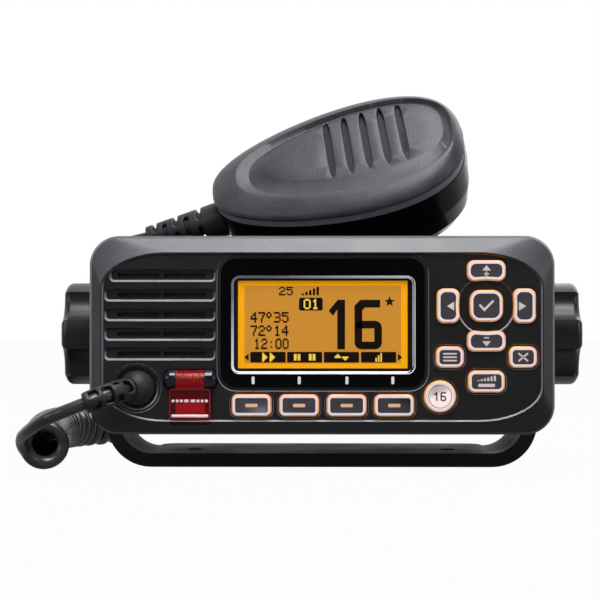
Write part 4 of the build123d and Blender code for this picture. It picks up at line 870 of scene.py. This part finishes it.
flatPiece(
    "cover_edges", [], coverFront, 0.06, "clearRedEdge", "distress_cover",
    rings=[(roundedBar(coverX, *coverPlaces["edge"]), 0.26)],
)
# the thumb bar is a real ridge on the cover; its pale pink colour stands for the light along it, a painted
# highlight
thumbBar = startPiece("cover_thumb_bar")
addOutline(roundedBar(coverX, *coverPlaces["thumbBar"]), onPanel(coverPlaces["front"]))
extrude(coverPlaces["thumbPush"])
thumbMiddle = panelPoint(coverX, *coverPlaces["thumbMiddle"])
bpy.ops.transform.resize(value=coverPlaces["thumbTaper"], center_override=thumbMiddle)
finishPiece(thumbBar, "paintedHighlightPink", "distress_cover")


def coilPiece(name, middle, axis, look):
    # a wire wound round an axis, its round section swept along the turns
    piece = startPiece(name)
    leaveEdit()
    wound = look["turns"] * look["pitch"]
    piece.location = middle - (Vector((wound / 2, 0, 0)) if axis == "X" else Vector((0, wound / 2, 0)))
    away = Vector((0, -look["radius"], 0)) if axis == "X" else Vector((look["radius"], 0, 0))
    workOn(piece)
    start = piece.location + away
    bpy.ops.mesh.primitive_circle_add(vertices=look["sides"], radius=look["wire"], location=start)
    steps = look["steps"]
    addModifier(
        piece, "SCREW", axis=axis, angle=2 * pi, screw_offset=look["pitch"], iterations=look["turns"],
        steps=steps, render_steps=steps,
    )
    bpy.ops.object.transform_apply(location=True, rotation=True, scale=True)
    workOn(piece)
    bpy.ops.mesh.select_mode(type="EDGE")
    bpy.ops.mesh.select_all(action="DESELECT")
    bpy.ops.mesh.select_non_manifold()
    bpy.ops.mesh.fill()
    return piece


# the key under the cover, its back a little shallower so that a full press leaves the dome clear
pushSettings = {"shallower": 0.0001, "tolerance": 0.00001}
pushKey = copyOfNode("distress_push_key", "distress_key")
leaveEdit()
pushKeyBack = max(corner.co.y for corner in pushKey.data.vertices)
for corner in pushKey.data.vertices:
    if corner.co.y > pushKeyBack - pushSettings["tolerance"]:
        corner.co.y -= pushSettings["shallower"]
finishPiece(pushKey, "redKeyPlastic", "distress_key", replaced=["distress_key"])

springSettings = {"radius": 0.0017, "wire": 0.00027, "turns": 9, "pitch": 0.00098, "sides": 10, "steps": 24}
springMiddle = panelPoint(coverX, coverPlaces["hingeDepth"], coverPlaces["hingeRise"])
spring = coilPiece("distress_coil_spring", springMiddle, "X", springSettings)
finishPiece(spring, "brass", "radio", replaced=["distress_spring"], sharpAngle=60)

threadSettings = {
    "radius": 0.0078, "wire": 0.00036, "turns": 9, "pitch": 0.00106, "sides": 6, "steps": 40,
    "fromEnd": 0.0052,
}
socketLow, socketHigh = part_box("antenna_socket")
threadMiddle = (Vector(socketLow) + Vector(socketHigh)) / 2
threadMiddle.y = socketHigh[1] - threadSettings["fromEnd"]
thread = coilPiece("socket_thread", threadMiddle, "Y", threadSettings)
finishPiece(thread, "nickel", "radio", sharpAngle=60)
print("distress cover made")


def cutRound(levels):
    # edges round the tube in hand, at each level in millimetres
    for level in levels:
        selectAll()
        bpy.ops.mesh.bisect(plane_co=(0, 0, level / 1000), plane_no=(0, 0, 1))


def bendTube(piece, place):
    # the tube's height becomes the way along, its section the ways across
    for corner in piece.data.vertices:
        corner.co = place(corner.co.z, corner.co.x, corner.co.y)


def tubeRows(*rows):
    # from root to tip: a plain row's length, or length, middles of its slots in degrees, span of each
    return [row if isinstance(row, tuple) else (row, (), 0) for row in rows]


def slottedTube(name, look, place):
    rows, startRadius, endRadius = look["rows"], look["startRadius"], look["endRadius"]
    piece = startPiece(name)
    total = sum(row[0] for row in rows)
    bpy.ops.mesh.primitive_cylinder_add(
        vertices=24, radius=startRadius / 1000, depth=total / 1000, end_fill_type="NOTHING",
        location=(0, 0, total / 2000),
    )
    cutRound(sum(row[0] for row in rows[:count]) for count in range(1, len(rows)))

    def inSlot(face):
        along = face.center.z * 1000
        angle = degrees(atan2(face.center.y, face.center.x))
        for length, middles, span in rows:
            if along < length:
                return any(abs((angle - middle + 180) % 360 - 180) < span / 2 for middle in middles)
            along -= length
        return False

    pickFaces(piece, inSlot)
    bpy.ops.mesh.delete(type="FACE")
    leaveEdit()
    for corner in piece.data.vertices:
        share = corner.co.z * 1000 / total
        radius = startRadius + (endRadius - startRadius) * share
        corner.co.x *= radius / startRadius
        corner.co.y *= radius / startRadius
    addModifier(piece, "SOLIDIFY", thickness=look["wall"] / 1000, offset=-1.0)
    addModifier(piece, "SUBSURF", levels=2, render_levels=2)
    bendTube(piece, place)
    return piece


def plainTube(name, length, startRadius, endRadius, place, steps=10):
    piece = startPiece(name)
    bpy.ops.mesh.primitive_cone_add(
        vertices=24, radius1=startRadius / 1000, radius2=endRadius / 1000, depth=length / 1000,
        location=(0, 0, length / 2000),
    )
    cutRound([length * step / steps for step in range(1, steps)])
    leaveEdit()
    bendTube(piece, place)
    return piece


def makeBoot(name, look, place, body, replaced):
    # slotted rubber, and a plain core that shows in its slots
    boot = slottedTube(f"{name}_strain_relief", look, place)
    finishPiece(boot, "softRubber", body, replaced=[replaced], sharpAngle=60)
    length = sum(row[0] for row in look["rows"])
    core = plainTube(f"{name}_relief_core", length, *look["coreRadii"], place)
    finishPiece(core, look["coreFinish"], body, sharpAngle=60)


def userFrame(tangent):
    # across a tube: the way that faces the user, and the way up
    towards = Vector((0, -1, 0))
    towards = (towards - tangent * towards.dot(tangent)).normalized()
    return towards, tangent.cross(towards)


panelBoot = {
    "root": Vector((-64.824, -49.109, 28.787)) / 1000,
    "way": Vector((-0.55, -0.83, -0.09)).normalized(),
    "tip": Vector((-78.3, -58.7, 24.6)) / 1000,
    "startRadius": 4.2,
    "endRadius": 3.65,
    "wall": 1.15,
    "coreRadii": (2.25, 2.25),
    "coreFinish": "cordRubber",
    "coreSlot": "cord_rubber",
    "rows": tubeRows(
        1.5, (2.3, (20, 140, 260), 75), 1.3, (1.9, (62, -38, 180), 45), 1.4,
        (2.9, (0, 180), 105), 1.6, (2.5, (52, -50, 180), 60), 2.1,
    ),
}
chord = panelBoot["tip"] - panelBoot["root"]
halfBend = panelBoot["way"].angle(chord)
bendRadius = chord.length / (2 * sin(halfBend))
bendAcross = panelBoot["way"].cross(chord).normalized().cross(panelBoot["way"])


def alongPanelBoot(along, towards, up):
    turn = along / bendRadius
    middle = panelBoot["root"] + bendRadius * (panelBoot["way"] * sin(turn) + bendAcross * (1 - cos(turn)))
    tangent = panelBoot["way"] * cos(turn) + bendAcross * sin(turn)
    front, top = userFrame(tangent)
    return middle + front * towards + top * up


makeBoot("panel", panelBoot, alongPanelBoot, "radio", "cord_boot")

micSettings = {
    "centre": Vector((6.2, 25.5, 110.1)) / 1000,
    "longWay": Vector((0.967, -0.102, 0.233)).normalized(),
    "faceWay": Vector((-0.2355, -0.707, 0.667)).normalized(),
    "taper": 0.215,
    "fullness": 0.76,
    "sides": 128,
    # each level of the front: length, width, shift along, shift up, height over the seam
    "levels": (
        (98.0, 60.5, 0.0, 0.0, 2.02), (97.4, 59.9, 0.0, 0.0, 2.9), (95.2, 57.8, 0.5, 0.1, 4.1),
        (91.4, 53.6, 1.8, 0.3, 5.4), (87.6, 49.4, 3.0, 0.6, 6.35), (85.0, 46.6, 3.7, 0.9, 6.75),
        (84.0, 45.8, 4.0, 1.0, 6.7), (78.6, 43.3, 5.4, 1.25, 5.0), (77.7, 42.5, 5.6, 1.3, 4.9),
        (69.8, 35.3, 7.9, 2.4, 6.65), (68.6, 34.2, 8.2, 2.5, 6.85), (54.0, 24.0, 8.0, 2.6, 6.9),
    ),
    "slots": {
        "count": 5, "first": -1.2, "pitch": 7.1, "up": 3.7, "length": 34.0, "width": 2.9, "cornerRise": 9.0,
        "foot": 4.9, "cutTop": 9.0,
    },
}
micAcross = micSettings["faceWay"].cross(micSettings["longWay"]).normalized()


def micPoint(along, up, height):
    # millimetres on the microphone: along it, up its face, out of its seam
    away = micSettings["longWay"] * along + micAcross * up + micSettings["faceWay"] * height
    return micSettings["centre"] + away / 1000


def makeMicFront():
    # a drum with one ring for each level, each ring then drawn out to its egg outline
    piece = startPiece("microphone_front")
    bpy.ops.mesh.primitive_circle_add(vertices=micSettings["sides"], radius=1, fill_type="NGON")
    for level in micSettings["levels"][1:]:
        extrude((0, 0, 1))
    leaveEdit()
    for corner in piece.data.vertices:
        length, width, alongShift, upShift, height = micSettings["levels"][round(corner.co.z)]
        along, up = corner.co.x, corner.co.y
        fullness = micSettings["fullness"]
        bulge = (1 if up > 0 else -1) * abs(up) ** fullness * (1 + micSettings["taper"] * along)
        corner.co = micPoint(alongShift + length / 2 * along, upShift + width / 2 * bulge, height)
    faceOutwards(piece)
    return piece


def micPlate(name, outlines, foot, top):
    # outlines in the microphone's own plane, from foot to top in height
    push = micSettings["faceWay"] * (top - foot) / 1000
    return raisedPiece(name, outlines, lambda along, up: micPoint(along, up, foot), push)


slots = micSettings["slots"]
slotPlaces = [slots["first"] + slots["pitch"] * i for i in range(slots["count"])]
slotOutlines = [
    roundedBar(
        place, slots["up"], slots["width"], slots["length"], slots["width"] * 0.49, steps=8,
        cornerRise=slots["cornerRise"],
    )
    for place in slotPlaces
]
micFront = makeMicFront()
cutter = micPlate("slot_cutter", slotOutlines, slots["foot"], slots["cutTop"])
faceOutwards(cutter)
addModifier(micFront, "BOOLEAN", object=cutter, operation="DIFFERENCE", solver="EXACT")
bpy.data.objects.remove(cutter)
addModifier(micFront, "BEVEL", width=0.00022, segments=2, limit_method="ANGLE", angle_limit=radians(50))
finishPiece(
    micFront, "micFacePlastic", "microphone", replaced=["mic_front_shell"], sharpAngle=35
)
# a flat dark plate in the last slot stands for the sound slit and a pin hole: painted shade where the
# openings are
slits = [
    roundedBar(slotPlaces[-1], slots["up"] - 4.5, 0.9, 11.0, 0.4),
    disc(slotPlaces[-1], slots["up"] + 11.0, 0.45, 16),
]
slitShadePlate = micPlate("microphone_slit_shade", slits, slots["foot"] - 0.02, slots["foot"] + 0.03)
finishPiece(slitShadePlate, "sealRubber", "microphone")
# dark plates laid over the slot floors to darken them: painted shade
paintedShadePlates = micPlate("microphone_slot_painted_shade", slotOutlines, slots["foot"] - 0.04, slots["foot"] + 0.01)
finishPiece(paintedShadePlates, "paintedSlotShade", "microphone")

pttSettings = {
    "along": 8.0, "pitch": 4.4, "rib": (-10.0, 1.5, 5.2, 0.6), "proud": 0.35, "sunk": 0.3,
}
pttCorners = [corner.co - micSettings["centre"] for corner in nodes["ptt_button"].data.vertices]
ribFoot = max(corner.dot(micAcross) for corner in pttCorners) * 1000 - pttSettings["sunk"]
ribPlaces = [pttSettings["along"] + i * pttSettings["pitch"] for i in range(-2, 3)]
ribs = [roundedBar(along, *pttSettings["rib"]) for along in ribPlaces]
pttRibs = raisedPiece(
    "ptt_ribs", ribs, lambda along, height: micPoint(along, ribFoot, height),
    micAcross * (pttSettings["proud"] + pttSettings["sunk"]) / 1000,
)
finishPiece(pttRibs, "micFacePlastic", "ptt")
print("microphone front made")

micBoot = {
    "behindSeam": 11.0,
    "start": -44.0,
    "rows": tubeRows(
        1.2, 10.1, 1.0, (1.7, (90, -90), 150), 0.8, 1.7,
        0.8, (2.0, (0, 180), 105), 0.7, 1.1, 0.7, (1.7, (90, -90), 150),
        0.7, 1.5, 0.7, (1.7, (0, 180), 105), 0.6, 1.3,
        0.6, (1.5, (90, -90), 150), 0.7, 1.7, 0.7,
    ),
    "startRadius": 7.5,
    "endRadius": 4.1,
    "wall": 1.3,
    "coreRadii": (5.6, 2.5),
    "coreFinish": "softRubber",
    "coreSlot": "boot_rubber",
}


def alongMicBoot(along, towards, up):
    tangent = -micSettings["longWay"]
    front, top = userFrame(tangent)
    root = micPoint(micBoot["start"], 0, -micBoot["behindSeam"])
    return root + tangent * along + front * towards + top * up


makeBoot("microphone", micBoot, alongMicBoot, "microphone", "mic_cord_boot")
print("strain reliefs made")

# microphone cord: straight lead, curly stretch, straight tail
cordSettings = {
    "wire": 0.0043,
    "coilRadius": 0.00655,
    "closePitch": 0.00436,
    "startAngle": 196.0,
    "perTurn": 14,
    "opening": 0.004,  # stretch over which the lead's end tightens into the first turn
    "closing": 0.018,  # stretch over which the last turns open out into the tail
    "exit": (-0.0783, -0.0587, 0.0246),
    "lead": [
        (-78.3, -58.7, 24.6), (-83.4, -59.9, 22.6), (-88.6, -59.3, 20.6), (-92.9, -57.0, 18.6),
        (-96.2, -53.6, 16.4), (-98.9, -49.7, 14.6), (-101.0, -45.4, 13.0), (-102.2, -41.0, 11.2),
        (-102.6, -37.2, 8.8),
    ],
    "coil": [
        (-95.8, -32.6, 8.8), (-98.4, -15.0, 8.8), (-101.0, 2.0, 8.8), (-103.5, 20.0, 8.8),
        (-105.0, 38.0, 8.8), (-103.6, 54.0, 8.8), (-98.2, 67.0, 8.8), (-90.5, 74.0, 8.8),
        (-82.5, 77.8, 9.6), (-76.4, 79.3, 15.6), (-74.5, 79.3, 24.2), (-76.0, 77.6, 34.0),
    ],
    "tail": [
        (-77.2, 76.2, 42.0), (-79.9, 73.9, 50.0), (-83.3, 70.6, 57.4), (-86.4, 66.0, 64.2),
        (-87.4, 59.8, 70.4), (-86.4, 53.6, 75.8), (-83.4, 48.2, 79.4), (-79.3, 44.3, 81.6),
        (-74.6, 42.1, 82.7), (-67.8, 41.4, 84.3),
    ],
}


def nurbsLine(name, points, bevel=0.0, resolution=12):
    curve = bpy.data.curves.new(name, "CURVE")
    curve.dimensions = "3D"
    curve.resolution_u = resolution
    curve.bevel_depth = bevel
    curve.bevel_resolution = 4
    curve.use_fill_caps = True
    spline = curve.splines.new("NURBS")
    spline.points.add(len(points) - 1)
    for controlPoint, place in zip(spline.points, points):
        controlPoint.co = (*place, 1.0)
    spline.order_u = 3
    spline.use_endpoint_u = True
    line = bpy.data.objects.new(name, curve)
    bpy.context.scene.collection.objects.link(line)
    return line


def pointsAlong(line):
    mesh = bpy.data.meshes.new_from_object(line)
    places = [vertex.co.copy() for vertex in mesh.vertices]
    bpy.data.meshes.remove(mesh)
    return places


def inMetres(points):
    return [Vector(point) / 1000 for point in points]


def helixRound(path, look):
    # turns lie side by side on the inside of each bend and open on its outside
    lengths = [0.0]
    for before, after in zip(path, path[1:]):
        lengths.append(lengths[-1] + (after - before).length)
    last = len(path) - 1
    tangents = [(path[min(i + 1, last)] - path[max(i - 1, 0)]).normalized() for i in range(len(path))]
    right = tangents[0].cross(Vector((0, 0, 1))).normalized()
    sides = []
    for tangent in tangents:
        right = (right - tangent * right.dot(tangent)).normalized()
        sides.append(right)
    turn = radians(look["startAngle"])
    step = 2 * pi / look["perTurn"]
    travelled = 0.0
    index = 0
    places = []
    while travelled < lengths[-1]:
        while index < last - 1 and lengths[index + 1] < travelled:
            index += 1
        share = (travelled - lengths[index]) / (lengths[index + 1] - lengths[index])
        middle = path[index].lerp(path[index + 1], share)
        tangent = tangents[index].lerp(tangents[index + 1], share).normalized()
        side = sides[index].lerp(sides[index + 1], share).normalized()
        up = side.cross(tangent)
        ending = max(0.0, 1 - (lengths[-1] - travelled) / look["closing"])
        starting = max(0.0, 1 - travelled / look["opening"])
        radius = look["coilRadius"] * (1 - ending * ending * (3 - 2 * ending))
        places.append(middle + (side * cos(turn) + up * sin(turn)) * radius)
        ahead, behind = min(index + 6, last), max(index - 6, 0)
        bend = tangents[ahead].angle(tangents[behind]) / max(lengths[ahead] - lengths[behind], 1e-6)
        pitch = look["closePitch"] / (1 - min(bend * look["coilRadius"], 0.5))
        pitch *= 1 + 4 * ending + 2 * starting
        turn += step
        travelled += pitch * step / (2 * pi)
    return places


coilAxis = nurbsLine("coilAxis", inMetres(cordSettings["coil"]), resolution=40)
coilPath = pointsAlong(coilAxis)
bpy.data.objects.remove(coilAxis)
helix = helixRound(coilPath, cordSettings)
cordPoints = inMetres(cordSettings["lead"]) + helix + inMetres(cordSettings["tail"])
cordLine = nurbsLine("cordLine", cordPoints, resolution=4)
cordPath = pointsAlong(cordLine)
bpy.data.objects.remove(cordLine)
cordLength = sum((after - before).length for before, after in zip(cordPath, cordPath[1:]))
print("microphone cord", round(cordLength, 3), "m,", len(helix) / cordSettings["perTurn"], "turns")

cordCurve = nurbsLine("microphoneCord", cordPoints, cordSettings["wire"] / 2, resolution=3)
choose(cordCurve)
bpy.ops.object.convert(target="MESH")
microphoneCord = bpy.context.active_object
bpy.ops.object.shade_smooth()
dress(microphoneCord, made["cordRubber"])
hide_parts("cord_lead", "cord_coil", "cord_tail")
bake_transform(microphoneCord)
print("microphone cord made")
